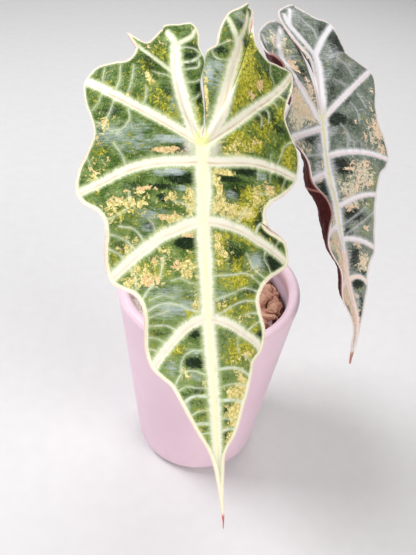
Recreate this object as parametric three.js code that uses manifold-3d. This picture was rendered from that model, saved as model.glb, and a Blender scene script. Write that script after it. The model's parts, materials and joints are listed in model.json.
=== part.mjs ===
// A potted pink-variegated alocasia: a pink pot of potting chips with a short crown in the middle,
// two leaf stalks on the crown and an arrow-shaped, lobed blade on each stalk.
// Millimetres, +Z up. The origin is the middle of the underside of the pot, which rests on z = 0.
// The front leaf hangs towards -Y, and the back leaf leans towards +X.
import * as THREE from 'three';
import { mergeVertices } from 'three/addons/utils/BufferGeometryUtils.js';
import Module from 'manifold-3d';

const wasm = await Module();
wasm.setup();

// Driving sizes of the pot
const POT = {
  height: 150,
  rimRadius: 60, // outside, at the lip
  footRadius: 43, // outside, where the straight side would meet the ground
  footRounding: 10,
  wall: 4,
  floor: 4,
  lip: 7.5, // thickness of the rolled lip
  lipDepth: 11, // how far down the lip thins into the wall
  drainHoles: 5,
  drainRadius: 4,
  drainRing: 27, // radius of the circle that the drain holes stand on
  segments: 52,
};

// Driving sizes of the potting chips
const BED = {
  top: 134, // level of the bed under its chips
  chips: 64,
  chipSmall: 4.6,
  chipLarge: 8,
  ring: 49, // the outermost chip centre, less the chip's own size
  seed: 41,
};

// Driving sizes of the crown, the short stem that the leaf stalks stand on
const CROWN = { bottom: 112, top: 147, radius: 11.5, waist: 9.6, segments: 24 };

const GAP = 0.3; // between solids that touch

// Driving sizes of the blades
const BLADE = 0.8; // thickness between the ribs
const MIDRIB = 2.8; // how far the midrib stands out underneath, at the stalk
const MIDRIB_TIP = 0.4; // and at the tip
const SIDE_RIB = 1.1; // how far a side rib stands out underneath, at the midrib
const RIB_HALF = 1.3; // where the midrib has dropped to half its height
const RIB_FOOT = 2.8; // where the midrib ends
const RIB_ROW = 0.3; // foot of a side rib, as a share of one step along the margin
const COLUMNS = [0.2, 0.4, 0.6, 0.8, 1]; // from the midrib's foot to the margin
const LOBE_ROWS = 4; // from the first rib of a back lobe to the sinus
const SINUS = -7; // bottom of the slit between the two back lobes

// Each leaf is drawn flat first, in mm: s runs along the midrib from the stalk to the tip, and is
// negative in the two back lobes; out runs from the midrib to the margin. starts are where the ribs
// leave the midrib. A half lists its sinus edge, then its ribs with the bays of margin between them,
// then the edge down to the tip. The attitude and the folds bend that drawing into the hanging leaf:
// a fold row is [s, rise beside the midrib in degrees, straight width in mm, curl in degrees per mm].
const FRONT_LEAF = {
  junction: [-9.6, -58.2, 279.8],
  heading: 9, // degrees from -Y towards +X
  slope: 42, // degrees below level at the stalk
  droop: 26, // further degrees by the tip
  lobeRise: 14, // degrees by which the back lobes level out
  roll: 0,
  length: 188,
  sweep: [[-95, 1], [0, 0], [60, 1.7], [120, 6.1], [158, 8.6], [188, 11.4]],
  quilt: 2.2,
  wave: 2.4,
  starts: [-4.5, -2.5, 4.5, 34.5, 80],
  left: {
    fold: [[-100, 4, 0, -0.3], [190, 4, 0, -0.3]],
    lift: -1.4,
    sinusEdge: [[-20, -1.4], [-37, 0.2], [-47, -2], [-55.4, 0], [-64, 0.3], [-69.4, 3.7], [-68.4, 9.9]],
    ribs: [
      { bend: [-37, 14.5], end: [-66.9, 18.4] },
      { bend: [-18.5, 26], end: [-36.9, 57.2] },
      { bend: [3, 31], end: [18.5, 60.9] },
      { bend: [38, 22.5], end: [63, 45.2] },
      { bend: [85, 18], end: [103, 29.8] },
    ],
    bays: [
      [[-61.6, 22.6], [-57, 26.5], [-62, 36], [-52.3, 31.2], [-46.4, 34.7], [-46.1, 42.7], [-44.7, 51.3]],
      [[-32, 57], [-23.6, 55.2], [-14.6, 51.9], [-7.3, 50.7], [0.4, 54.2], [9, 59.2]],
      [[24.7, 57.5], [29.5, 50], [34.7, 46.6], [41.2, 46.5], [48, 47.5], [54.7, 47.8]],
      [[66.3, 39.3], [68.7, 34.3], [72.4, 31.8], [78, 30.9], [85, 31.4], [94, 32]],
    ],
    tipEdge: [[108.2, 25.1], [111.6, 21.2], [117, 18.3], [124.7, 14.8], [134.6, 10.2], [143.9, 5.5],
      [153.8, 2.7], [165, 1.5], [177, 1]],
  },
  right: {
    fold: [[-100, -16, 0, -0.35], [190, -16, 0, -0.35]],
    lift: 1,
    sinusEdge: [[-20, 3.1], [-37, 0.6], [-46, 1.8], [-53.6, 3.8], [-57, 7.8], [-66, 9.9], [-80, 16],
      [-86.8, 23]],
    ribs: [
      { bend: [-36, 20], end: [-94, 30.4] },
      { bend: [-25, 33], end: [-60.6, 59.6] },
      { bend: [1, 30], end: [5.7, 60.7] },
      { bend: [34.5, 24], end: [53.8, 50] },
      { bend: [83, 16], end: [97.7, 28.6] },
    ],
    bays: [
      [[-90.8, 33.3], [-82.3, 31.2], [-73.3, 29.5], [-62.7, 31], [-58.2, 38.1], [-60, 48.5]],
      [[-52, 58.9], [-44.9, 55.4], [-33.4, 49.6], [-25.3, 48], [-19.2, 52.8], [-8.8, 61.6]],
      [[12.6, 54.6], [18.8, 45], [23.3, 36.7], [28.3, 32.4], [35, 34.5], [37.9, 40.5], [42, 48.6]],
      [[58.6, 42], [60.9, 35.3], [65.2, 28.9], [70.8, 26], [77.2, 27.6], [87.6, 31]],
    ],
    tipEdge: [[102.8, 23.2], [108.1, 20.8], [115.4, 17.7], [124, 13.9], [131.8, 11.2], [138, 8.6],
      [146, 3.8], [158, 2.5], [172, 1.2]],
  },
};

const BACK_LEAF = {
  junction: [57.1, 28.3, 255.3],
  heading: 18,
  slope: 40,
  droop: 26,
  lobeRise: 14,
  roll: -22,
  length: 147,
  sweep: [[-84, 0], [0, 0], [25, -0.5], [50, 3.2], [85, 5.2], [107, 10], [118, 12.5], [130, 12.2],
    [147, 8.2]],
  quilt: 1.8,
  wave: 1.2,
  starts: [-4.5, -2.5, 20, 50, 69, 94],
  left: {
    starts: [-4.5, -2.5, 3.5, 29.5, 60, 92],
    fold: [[-78, -12, 0, 0.3], [-52, -6, 10, 0.4], [-40, -10, 21, 4], [-31, 5, 32, 9.5],
      [-22, 14, 36, 10], [-12, 6, 27, 5], [2, 4, 10, 1], [17, 4, 6, 1.1],
      [30, 0, 11.5, 2.5], [38, -6, 12, 4], [46, -9, 12, 6.5], [54, -6, 13, 7.6], [62, 3, 12, 4.7],
      [71, 14.5, 12, 2.8], [80, 20, 11, 3.2], [95, 17, 9.5, 6], [112, 15.5, 4.7, 5.8],
      [128, 16.5, 0.5, 4], [147, 15, 3, 2]],
    columns: [0.15, 0.3, 0.42, 0.54, 0.66, 0.78, 0.89, 1],
    lift: -2,
    sinusEdge: [[-20, 0.9], [-38, 0.9], [-48, 2.5], [-58, 6], [-66.5, 9.8]],
    ribs: [
      { bend: [-40, 8], end: [-71.5, 16.2] },
      { bend: [-8, 28], end: [-15.5, 45] },
      { bend: [6, 24], end: [17, 44.5] },
      { bend: [34, 19], end: [43, 33.5] },
      { bend: [66, 16], end: [77.6, 29.2] },
      { bend: [96, 9], end: [102.4, 16.5] },
    ],
    bays: [
      [[-63.8, 26.6], [-52.6, 33.3], [-42, 36.4], [-36, 38.3], [-30, 43.3], [-22, 46.5]],
      [[-10, 44], [-3, 43], [4, 42], [10, 43]],
      [[24, 43.7], [30, 41.2], [36, 37.2]],
      [[48, 32.9], [54, 32.9], [59.6, 31.6], [69, 31.2]],
      [[82, 26.7], [88.2, 22.8], [95, 19.9]],
    ],
    tipEdge: [[107.6, 13], [114.6, 9.2], [122.6, 7.6], [130, 6.2], [139, 1.4]],
  },
  right: {
    fold: [[-100, 14, 0, -0.25], [147, 14, 0, -0.25]],
    lift: 1.6,
    sinusEdge: [[-11, 0.2], [-27, 0.2], [-42, -0.4], [-49, -5.3], [-58.9, -10], [-68.6, -13.4], [-76, -13],
      [-79.5, -9]],
    ribs: [
      { bend: [-42, 7], end: [-83.4, 0] },
      { bend: [-20, 21], end: [-39.8, 46] },
      { bend: [13.5, 22], end: [21.8, 48.2] },
      { bend: [41.5, 20], end: [44.3, 31.2] },
      { bend: [69, 13], end: [77.2, 24] },
      { bend: [89, 10], end: [99.2, 14] },
    ],
    bays: [
      [[-79.8, 5.8], [-74.1, 12.8], [-71.4, 19.2], [-68, 22.4], [-60.5, 25], [-49.3, 28.8],
        [-44.8, 36.6]],
      [[-35.5, 47.8], [-25.2, 46.3], [-11.2, 42.3], [-1.1, 42.1], [6.5, 45.3], [15.2, 48.2]],
      [[27.3, 43.2], [31.8, 36.4], [37.7, 33.5]],
      [[53, 26.3], [63.1, 24.4]],
      [[79.4, 22.3], [84.2, 17.7], [92, 15.3]],
    ],
    tipEdge: [[108.9, 8.9], [118.2, 4.4], [127, 2.3], [137.1, 1.6]],
  },
};

// Driving sizes of the leaf stalks. base is the middle of the stalk's foot on the crown.
const STALKS = {
  front: { base: [-1, -4.4], footWidth: 7.2, footDepth: 3.9, radius: 3.1, topRadius: 2.3, rise: 62 },
  back: { base: [1.2, 4.4], footWidth: 7.2, footDepth: 3.9, radius: 2.9, topRadius: 2.1, rise: 55 },
};
const STALK_SHEATH = 0.3; // share of the stalk over which its clasping foot narrows to round
const STALK_STEPS = 18;
const STALK_SIDES = 12;

const MATERIALS = {
  pot: new THREE.MeshStandardMaterial({ color: 0xdcbfcd, roughness: 0.45, metalness: 0 }),
  chips: new THREE.MeshStandardMaterial({ color: 0xa8735a, roughness: 0.9, metalness: 0 }),
  crown: new THREE.MeshStandardMaterial({ color: 0x8b7a4e, roughness: 0.7, metalness: 0 }),
  stalk: new THREE.MeshStandardMaterial({ color: 0xb9c58e, roughness: 0.4, metalness: 0 }),
  frontBlade: new THREE.MeshStandardMaterial({ color: 0x5f7f3a, roughness: 0.3, metalness: 0 }),
  backBlade: new THREE.MeshStandardMaterial({ color: 0x7f9184, roughness: 0.35, metalness: 0 }),
};

const radians = THREE.MathUtils.degToRad;
const lerp = THREE.MathUtils.lerp;
const smoothstep = THREE.MathUtils.smoothstep;

// Solids

function toManifold(geometry) {
  const bare = geometry.clone();
  bare.deleteAttribute('normal');
  bare.deleteAttribute('uv');
  const merged = mergeVertices(bare, 1e-4);
  const index = merged.index.array;
  const triangles = [];
  for (let i = 0; i < index.length; i += 3) {
    const [a, b, c] = index.slice(i, i + 3);
    if (a !== b && b !== c && c !== a) triangles.push(a, b, c);
  }
  return new wasm.Manifold(new wasm.Mesh({
    numProp: 3,
    vertProperties: new Float32Array(merged.attributes.position.array),
    triVerts: new Uint32Array(triangles),
  }));
}

function toGeometry(solid) {
  const mesh = solid.getMesh();
  const geometry = new THREE.BufferGeometry();
  geometry.setAttribute('position', new THREE.BufferAttribute(new Float32Array(mesh.vertProperties), 3));
  geometry.setIndex(new THREE.BufferAttribute(new Uint32Array(mesh.triVerts), 1));
  return geometry;
}

function facets(points, triangles) {
  const geometry = new THREE.BufferGeometry();
  geometry.setAttribute('position', new THREE.Float32BufferAttribute(points.flat(), 3));
  geometry.setIndex(triangles.flat());
  return geometry;
}

// A body turned about +Z from a profile of [radius, height] that starts and ends on the axis.
function turned(profile, segments) {
  const points = profile.map(([radius, height]) => new THREE.Vector2(radius, height));
  return new THREE.LatheGeometry(points, segments).rotateX(Math.PI / 2);
}

function post(radius, bottom, top, segments, x = 0, y = 0) {
  return new THREE.CylinderGeometry(radius, radius, top - bottom, segments)
    .rotateX(Math.PI / 2)
    .translate(x, y, (top + bottom) / 2);
}

// The pot

const potOutside = (z) => lerp(POT.footRadius, POT.rimRadius, z / POT.height);
const potInside = (z) => potOutside(z) - POT.wall;

function arc(centreR, centreZ, radius, from, to, steps) {
  return Array.from({ length: steps + 1 }, (_, i) => {
    const angle = radians(lerp(from, to, i / steps));
    return [centreR + radius * Math.cos(angle), centreZ + radius * Math.sin(angle)];
  });
}

function makePot() {
  const round = POT.footRounding;
  const lipRound = POT.lip / 2;
  const lipLevel = POT.height - lipRound;
  const innerRound = round - POT.wall;
  const profile = [
    [0, 0],
    ...arc(potOutside(round) - round, round, round, -90, 0, 5),
    ...arc(POT.rimRadius - lipRound, lipLevel, lipRound, 0, 180, 7),
    [POT.rimRadius - POT.lip + 0.4, lipLevel - POT.lipDepth * 0.4],
    [potInside(lipLevel - POT.lipDepth) - 0.4, lipLevel - POT.lipDepth * 0.8],
    [potInside(lipLevel - POT.lipDepth), lipLevel - POT.lipDepth],
    ...arc(potInside(round) - innerRound, POT.floor + innerRound, innerRound, 0, -90, 3),
    [0, POT.floor],
  ];
  let pot = toManifold(turned(profile, POT.segments));
  for (let i = 0; i < POT.drainHoles; i += 1) {
    const angle = (i / POT.drainHoles) * 2 * Math.PI;
    const x = POT.drainRing * Math.cos(angle);
    const y = POT.drainRing * Math.sin(angle);
    pot = pot.subtract(toManifold(post(POT.drainRadius, -1, POT.floor + 1, 16, x, y)));
  }
  return toGeometry(pot);
}

// The potting chips: one bed that fills the pot, with chips raised all over its top

function seeded(seed) {
  let state = seed;
  return () => {
    state = (state * 1103515245 + 12345) % 2147483648;
    return state / 2147483648;
  };
}

function makeBed() {
  const round = POT.footRounding - POT.wall - GAP;
  const profile = [
    [0, POT.floor + GAP],
    ...arc(potInside(POT.footRounding) - GAP - round, POT.floor + GAP + round, round, -90, 0, 3),
    [potInside(BED.top - 2) - GAP - 0.2, BED.top - 2],
    [potInside(BED.top) - GAP - 2, BED.top],
    [0, BED.top],
  ];
  let bed = toManifold(turned(profile, 40));
  const random = seeded(BED.seed);
  const turn = Math.PI * (3 - Math.sqrt(5));
  for (let i = 0; i < BED.chips; i += 1) {
    const size = lerp(BED.chipSmall, BED.chipLarge, random());
    const spread = Math.sqrt((i + 0.5) / BED.chips);
    const reach = lerp(CROWN.radius + 2, BED.ring - size * 0.55, spread);
    const angle = i * turn + random() * 0.4;
    const chip = new THREE.IcosahedronGeometry(size, 0)
      .scale(1, lerp(0.65, 0.95, random()), lerp(0.5, 0.8, random()))
      .rotateX(lerp(-0.5, 0.5, random()))
      .rotateY(lerp(-0.5, 0.5, random()))
      .rotateZ(random() * 2 * Math.PI)
      .translate(reach * Math.cos(angle), reach * Math.sin(angle), BED.top + size * 0.12);
    bed = bed.add(toManifold(chip));
  }
  const hole = post(CROWN.radius + GAP, CROWN.bottom - GAP, POT.height, CROWN.segments);
  bed = bed.subtract(toManifold(hole));
  // A pocket closed in between chips comes out as a shell of negative volume, and is filled.
  const shells = bed.decompose().filter((shell) => shell.volume() > 0);
  return toGeometry(shells.reduce((all, shell) => all.add(shell)));
}

// The crown

function makeCrown() {
  const { bottom, top, radius, waist } = CROWN;
  return turned([
    [0, bottom],
    [radius - 1.5, bottom],
    [radius, bottom + 2],
    [radius, BED.top],
    [lerp(radius, waist, 0.5), lerp(BED.top, top, 0.4)],
    [waist, lerp(BED.top, top, 0.75)],
    [waist, top - 0.8],
    [waist - 0.8, top],
    [0, top],
  ], CROWN.segments);
}

// A smooth curve through rows of [s, value, value, ...]; gives all the values at s.
function profileAt(rows, s) {
  const last = rows.length - 2;
  let i = rows.findIndex((row) => row[0] > s) - 1;
  if (i < 0) i = s < rows[0][0] ? 0 : last;
  const [a, b] = [rows[i], rows[i + 1]];
  const span = b[0] - a[0];
  const f = THREE.MathUtils.clamp((s - a[0]) / span, 0, 1);
  const slope = (k, column) => {
    if (rows.length === 2) return (b[column] - a[column]) / span;
    if (k === 0 || k === rows.length - 1) return 0;
    return (rows[k + 1][column] - rows[k - 1][column]) / (rows[k + 1][0] - rows[k - 1][0]);
  };
  return a.slice(1).map((_, n) => {
    const column = n + 1;
    return (2 * f ** 3 - 3 * f ** 2 + 1) * a[column] + (f ** 3 - 2 * f ** 2 + f) * span * slope(i, column)
      + (3 * f ** 2 - 2 * f ** 3) * b[column] + (f ** 3 - f ** 2) * span * slope(i + 1, column);
  });
}

// The midrib as a line in space, bent in its own upright plane: a point on it with the directions
// across the blade (towards its right half) and out of its upper face.
function midribFrame(leaf, s) {
  const heading = radians(leaf.heading);
  const ahead = new THREE.Vector3(Math.sin(heading), -Math.cos(heading), 0);
  const side = new THREE.Vector3(Math.cos(heading), Math.sin(heading), 0);
  const up = new THREE.Vector3(0, 0, 1);
  const start = radians(leaf.slope);
  const bend = s >= 0 ? radians(leaf.droop) / leaf.length : radians(leaf.lobeRise) / 70;
  const angle = start + bend * s;
  const forward = (Math.sin(angle) - Math.sin(start)) / bend;
  const down = (Math.cos(start) - Math.cos(angle)) / bend;
  const face = ahead.clone().multiplyScalar(Math.sin(angle)).addScaledVector(up, Math.cos(angle));
  const [c, q] = [Math.cos(radians(leaf.roll)), Math.sin(radians(leaf.roll))];
  const across = side.clone().multiplyScalar(c).addScaledVector(face, q);
  const normal = face.clone().multiplyScalar(c).addScaledVector(side, -q);
  const point = new THREE.Vector3(...leaf.junction)
    .addScaledVector(ahead, forward)
    .addScaledVector(up, -down)
    .addScaledVector(across, profileAt(leaf.sweep, s)[0]);
  return { point, across, normal };
}

// A point of the blade at height above the sheet's own middle surface.
function bladePoint(leaf, half, sign, s, out, height) {
  const { point, across, normal } = midribFrame(leaf, s);
  const [rise, straight, curl] = profileAt(half.fold, s);
  const turn = radians(curl) || 1e-7;
  const flat = Math.min(out, straight);
  const start = radians(rise);
  const angle = start + turn * Math.max(out - straight, 0);
  const x = flat * Math.cos(start) + (Math.sin(angle) - Math.sin(start)) / turn;
  const y = flat * Math.sin(start) + (Math.cos(start) - Math.cos(angle)) / turn;
  return point
    .addScaledVector(across, sign * (x - height * Math.sin(angle)))
    .addScaledVector(normal, y + height * Math.cos(angle));
}

// The sheet of one blade, as flat vertices { s, out, height, depth } and the triangles between them.
class Sheet {
  constructor(leaf) {
    this.leaf = leaf;
    this.vertices = [];
    this.triangles = [];
    this.keys = new Map();
    this.midribStops = [...new Set([...this.stops(leaf.left), ...this.stops(leaf.right)])]
      .sort((a, b) => a - b);
    this.addHalf(leaf.left, -1);
    this.addHalf(leaf.right, 1);
  }

  // The margin of one half from the sinus to the tip, and the places of the rib ends on it.
  margin(half) {
    const points = [[SINUS, 0], ...half.sinusEdge];
    const marks = [];
    half.ribs.forEach((rib, i) => {
      marks.push(points.length);
      points.push(rib.end, ...(half.bays[i] ?? half.tipEdge));
    });
    points.push([this.leaf.length, 0]);
    marks.push(points.length - 1);
    const curve = new THREE.CatmullRomCurve3(
      points.map(([s, out]) => new THREE.Vector3(s, out, 0)), false, 'centripetal');
    const at = (place) => curve.getPoint(place / (points.length - 1));
    return { at, marks };
  }

  // Rows run from the midrib to the margin. place is a row's place on the margin, and share says how
  // far it is from its own rib to the next.
  rows(half) {
    const { marks } = this.margin(half);
    const starts = [...(half.starts ?? this.leaf.starts), this.leaf.length];
    const rows = [];
    for (let i = 0; i < marks.length - 1; i += 1) {
      const last = i === marks.length - 2;
      const places = [marks[i], marks[i] + RIB_ROW];
      for (let place = marks[i] + 1; place < marks[i + 1]; place += 1) places.push(place);
      places.push(last ? marks[i + 1] : marks[i + 1] - RIB_ROW);
      for (const place of places) {
        const share = (place - marks[i]) / (marks[i + 1] - marks[i]);
        const start = Number(lerp(starts[i], starts[i + 1], share).toFixed(3));
        rows.push({ place, rib: i, share, start });
      }
    }
    return rows;
  }

  stops(half) {
    return this.rows(half).map((row) => row.start);
  }

  // The bend of a row is its rib's, measured along and beside the straight line to its end.
  static bendOf(start, rib) {
    const [ds, dq] = [rib.end[0] - start, rib.end[1]];
    const [bs, bq] = [rib.bend[0] - start, rib.bend[1]];
    const squared = ds * ds + dq * dq;
    return [(bs * ds + bq * dq) / squared, (bq * ds - bs * dq) / squared];
  }

  rowPoints(half, row, at) {
    const starts = half.starts ?? this.leaf.starts;
    const end = at(row.place);
    const [ds, dq] = [end.x - row.start, end.y];
    const length = Math.hypot(ds, dq);
    const here = Sheet.bendOf(starts[row.rib], half.ribs[row.rib]);
    const next = half.ribs[row.rib + 1]
      ? Sheet.bendOf(starts[row.rib + 1], half.ribs[row.rib + 1])
      : [0.5, 0];
    const [along, beside] = [lerp(here[0], next[0], row.share), lerp(here[1], next[1], row.share)];
    const [cs, cq] = [row.start + along * ds - beside * dq, along * dq + beside * ds];
    const ribHalf = Math.min(RIB_HALF, length * 0.12);
    const ribFoot = Math.min(RIB_FOOT, length * 0.25);
    const widths = [0, ribHalf / length, ribFoot / length,
      ...(half.columns ?? COLUMNS).map((w) => lerp(ribFoot / length, 1, w))];
    return widths.map((w) => {
      const [a, b, c] = [(1 - w) ** 2, 2 * w * (1 - w), w ** 2];
      return { s: a * row.start + b * cs + c * end.x, out: b * cq + c * end.y, w };
    });
  }

  ribHeight(s) {
    return lerp(MIDRIB, MIDRIB_TIP, s / this.leaf.length);
  }

  lobeLift(half, s) {
    return half.lift * smoothstep(-s, 15, 45);
  }

  vertex(half, sign, { s, out }, height, depth) {
    const onMidrib = Math.abs(out) < 1e-6;
    const key = `${onMidrib ? 'midrib' : sign} ${s.toFixed(3)} ${out.toFixed(3)}`;
    if (!this.keys.has(key)) {
      this.keys.set(key, this.vertices.length);
      this.vertices.push({ half, sign, s, out: onMidrib ? 0 : out, height, depth });
    }
    return this.keys.get(key);
  }

  triangle(sign, a, b, c) {
    if (a === b || b === c || c === a) return;
    this.triangles.push(sign > 0 ? [a, b, c] : [a, c, b]);
  }

  addHalf(half, sign) {
    const { at, marks } = this.margin(half);
    const { quilt, wave } = this.leaf;
    const rows = this.rows(half).map((row) => {
      const tail = row.rib === half.ribs.length - 1 ? 1 - row.share : 1;
      const points = this.rowPoints(half, row, at);
      return {
        start: row.start,
        at: points.map((point, column) => {
          const { s, w } = point;
          const bulge = quilt * Math.sin(Math.PI * row.share) ** 2 * Math.sin(Math.PI * w ** 0.8);
          const ripple = -wave * Math.cos(2 * Math.PI * row.share) * w ** 3;
          const sideRib = row.share === 0 ? SIDE_RIB * (1 - w) : 0;
          const midrib = [1, 0.45, 0][column] ?? 0;
          const depth = column === 0
            ? BLADE + this.ribHeight(s)
            : BLADE + midrib * this.ribHeight(s) + sideRib;
          const height = tail * (bulge + ripple) + this.lobeLift(half, s);
          return this.vertex(half, sign, point, height, depth);
        }),
        points,
      };
    });
    for (let r = 0; r < rows.length - 1; r += 1) {
      const [here, next] = [rows[r], rows[r + 1]];
      const stops = this.midribStops
        .filter((s) => s >= here.start && s <= next.start)
        .map((s) => this.vertex(half, sign, { s, out: 0 }, 0, BLADE + this.ribHeight(s)));
      for (let k = 0; k < stops.length - 1; k += 1) {
        this.triangle(sign, stops[k], stops[k + 1], here.at[1]);
      }
      this.triangle(sign, stops.at(-1), next.at[1], here.at[1]);
      for (let c = 1; c < here.at.length - 1; c += 1) {
        this.triangle(sign, here.at[c], next.at[c], next.at[c + 1]);
        this.triangle(sign, here.at[c], next.at[c + 1], here.at[c + 1]);
      }
    }
    this.addLobe(half, sign, at, marks[0], rows[0]);
  }

  // The strip of a back lobe between its first rib and the sinus.
  addLobe(half, sign, at, mark, first) {
    const columns = first.points.length - 1;
    const grid = first.points.map((point, j) => {
      const edge = j === 0 ? { x: SINUS, y: 0 } : at(mark * (j / columns));
      return Array.from({ length: LOBE_ROWS + 1 }, (_, i) => {
        const share = i / LOBE_ROWS;
        if (i === 0) return first.at[j];
        const s = lerp(point.s, edge.x, share);
        const out = lerp(point.out, edge.y, share);
        const bulge = 0.6 * this.leaf.quilt * Math.sin(Math.PI * share) * Math.sin(Math.PI * point.w);
        const ripple = -this.leaf.wave * point.w ** 3 * (1 - share) ** 2;
        const depth = j === 0 ? BLADE + this.ribHeight(s) * (1 - share) : BLADE;
        return this.vertex(half, sign, { s, out }, bulge + ripple + this.lobeLift(half, s), depth);
      });
    });
    for (let j = 0; j < columns; j += 1) {
      for (let i = 0; i < LOBE_ROWS; i += 1) {
        this.triangle(sign, grid[j][i], grid[j + 1][i], grid[j + 1][i + 1]);
        this.triangle(sign, grid[j][i], grid[j + 1][i + 1], grid[j][i + 1]);
      }
    }
  }

  // The closed blade: the sheet's upper face, the same triangles underneath, and the edge between.
  solid() {
    const count = this.vertices.length;
    const place = (v, height) => bladePoint(this.leaf, v.half, v.sign, v.s, v.out, height).toArray();
    const points = [
      ...this.vertices.map((v) => place(v, v.height)),
      ...this.vertices.map((v) => place(v, v.height - v.depth)),
    ];
    const triangles = [];
    const edges = new Set(this.triangles.flatMap(([a, b, c]) => [`${a} ${b}`, `${b} ${c}`, `${c} ${a}`]));
    for (const [a, b, c] of this.triangles) {
      triangles.push([a, b, c], [a + count, c + count, b + count]);
      for (const [from, to] of [[a, b], [b, c], [c, a]]) {
        if (edges.has(`${to} ${from}`)) continue;
        triangles.push([from, from + count, to + count], [from, to + count, to]);
      }
    }
    return facets(points, triangles);
  }
}

// A leaf stalk: it rises from the crown and turns until it meets the blade's midrib squarely.
function makeStalk(leaf, stalk) {
  const { point, across, normal } = midribFrame(leaf, 0);
  const reach = BLADE + MIDRIB + GAP;
  const top = point.clone().addScaledVector(normal, -reach);
  const foot = new THREE.Vector3(...stalk.base, CROWN.top + GAP);
  const path = new THREE.CubicBezierCurve3(
    foot,
    foot.clone().add(new THREE.Vector3(0, 0, stalk.rise)),
    top.clone().addScaledVector(normal, -stalk.rise * 0.6),
    top,
  );
  const points = [];
  const triangles = [];
  for (let i = 0; i <= STALK_STEPS; i += 1) {
    const t = i / STALK_STEPS;
    const centre = path.getPoint(t);
    const along = i === 0 ? new THREE.Vector3(0, 0, 1) : path.getTangent(t);
    const wide = across.clone().addScaledVector(along, -across.dot(along)).normalize();
    const deep = along.clone().cross(wide);
    const round = lerp(stalk.radius, stalk.topRadius, t);
    const clasp = 1 - smoothstep(t, 0, STALK_SHEATH);
    const [a, b] = [lerp(round, stalk.footWidth, clasp), lerp(round, stalk.footDepth, clasp)];
    for (let k = 0; k < STALK_SIDES; k += 1) {
      const angle = (k / STALK_SIDES) * 2 * Math.PI;
      points.push(centre.clone()
        .addScaledVector(wide, a * Math.cos(angle))
        .addScaledVector(deep, b * Math.sin(angle))
        .toArray());
    }
  }
  for (let i = 0; i < STALK_STEPS; i += 1) {
    for (let k = 0; k < STALK_SIDES; k += 1) {
      const next = (k + 1) % STALK_SIDES;
      const [a, b] = [i * STALK_SIDES + k, i * STALK_SIDES + next];
      triangles.push([a, b, b + STALK_SIDES], [a, b + STALK_SIDES, a + STALK_SIDES]);
    }
  }
  const end = STALK_STEPS * STALK_SIDES;
  for (let k = 1; k < STALK_SIDES - 1; k += 1) {
    triangles.push([0, k + 1, k], [end, end + k, end + k + 1]);
  }
  return facets(points, triangles);
}

const plant = new THREE.Group();

function add(name, geometry, material) {
  const mesh = new THREE.Mesh(geometry, material);
  mesh.name = name;
  plant.add(mesh);
}

add('pot', makePot(), MATERIALS.pot);
add('potting_chips', makeBed(), MATERIALS.chips);
add('crown', makeCrown(), MATERIALS.crown);
add('front_leaf_stalk', makeStalk(FRONT_LEAF, STALKS.front), MATERIALS.stalk);
add('back_leaf_stalk', makeStalk(BACK_LEAF, STALKS.back), MATERIALS.stalk);
add('front_leaf_blade', new Sheet(FRONT_LEAF).solid(), MATERIALS.frontBlade);
add('back_leaf_blade', new Sheet(BACK_LEAF).solid(), MATERIALS.backBlade);

export default plant;
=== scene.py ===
# %% [markdown]
# # A potted alocasia with cream and pink markings
# This lesson dresses a finished CAD part: a pink pot of potting chips, a short crown, two leaf
# stalks and two arrow-shaped blades. The CAD file fixes every size and place. This script adds what
# the solids leave out: the fine form of the leaves, their veins and markings, the loose chips and
# the finish of each surface.
#
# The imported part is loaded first, so that everything made later can be measured against it.

import json
from math import cos, pi, radians, sin, sqrt

import bpy
import numpy as np
from mathutils import Matrix, Vector

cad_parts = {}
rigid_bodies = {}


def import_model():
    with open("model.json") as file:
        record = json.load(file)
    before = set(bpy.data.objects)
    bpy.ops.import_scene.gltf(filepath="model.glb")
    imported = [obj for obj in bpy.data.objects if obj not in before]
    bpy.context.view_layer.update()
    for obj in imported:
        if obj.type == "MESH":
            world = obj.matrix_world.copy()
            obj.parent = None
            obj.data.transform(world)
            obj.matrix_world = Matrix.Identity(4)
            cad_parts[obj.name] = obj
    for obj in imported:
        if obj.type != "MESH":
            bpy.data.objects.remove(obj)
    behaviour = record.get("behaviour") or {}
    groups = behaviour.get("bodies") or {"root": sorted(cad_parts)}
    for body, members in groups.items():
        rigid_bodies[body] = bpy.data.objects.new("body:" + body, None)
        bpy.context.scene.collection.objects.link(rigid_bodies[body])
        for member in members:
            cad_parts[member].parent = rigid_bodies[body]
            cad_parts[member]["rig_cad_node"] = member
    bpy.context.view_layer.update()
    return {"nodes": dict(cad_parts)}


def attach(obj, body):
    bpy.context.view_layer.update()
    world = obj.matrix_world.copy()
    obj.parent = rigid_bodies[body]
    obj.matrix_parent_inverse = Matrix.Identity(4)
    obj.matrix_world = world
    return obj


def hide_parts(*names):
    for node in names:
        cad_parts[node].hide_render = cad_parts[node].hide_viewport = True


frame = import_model()


def in_mm(lengths, digits=None):
    """Lengths in metres as rounded mm, for printing."""
    return [round(1000 * length, digits) for length in lengths]


print("CAD nodes:", ", ".join(sorted(frame["nodes"])))

# %% [markdown]
# ## The camera
# The plant was photographed from above and in front, with the camera tipped a little to one side.
# A camera can be aimed with a tracking constraint, but here its three axes are written out, because
# pitch and tilt were measured from the pot: its rim is an ellipse whose shape gives the pitch, and
# whose long axis leans by the tilt. The focal length was found in rows of the picture, and the
# height of the sensor turns it into mm.

# %% Camera
CAMERA_PLACE = Vector((-0.0013, -0.3492, 0.4463))
PICTURE_ROWS = 555
FOCAL_ROWS = 700
SENSOR_MM = 36
pitch = radians(40)
tilt = radians(5.5)
view_direction = Vector((0, cos(pitch), -sin(pitch)))
level = Vector((1, 0, 0))
upright = Vector((0, sin(pitch), cos(pitch)))
view_right = level * cos(tilt) + upright * sin(tilt)
view_up = upright * cos(tilt) - level * sin(tilt)

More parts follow.
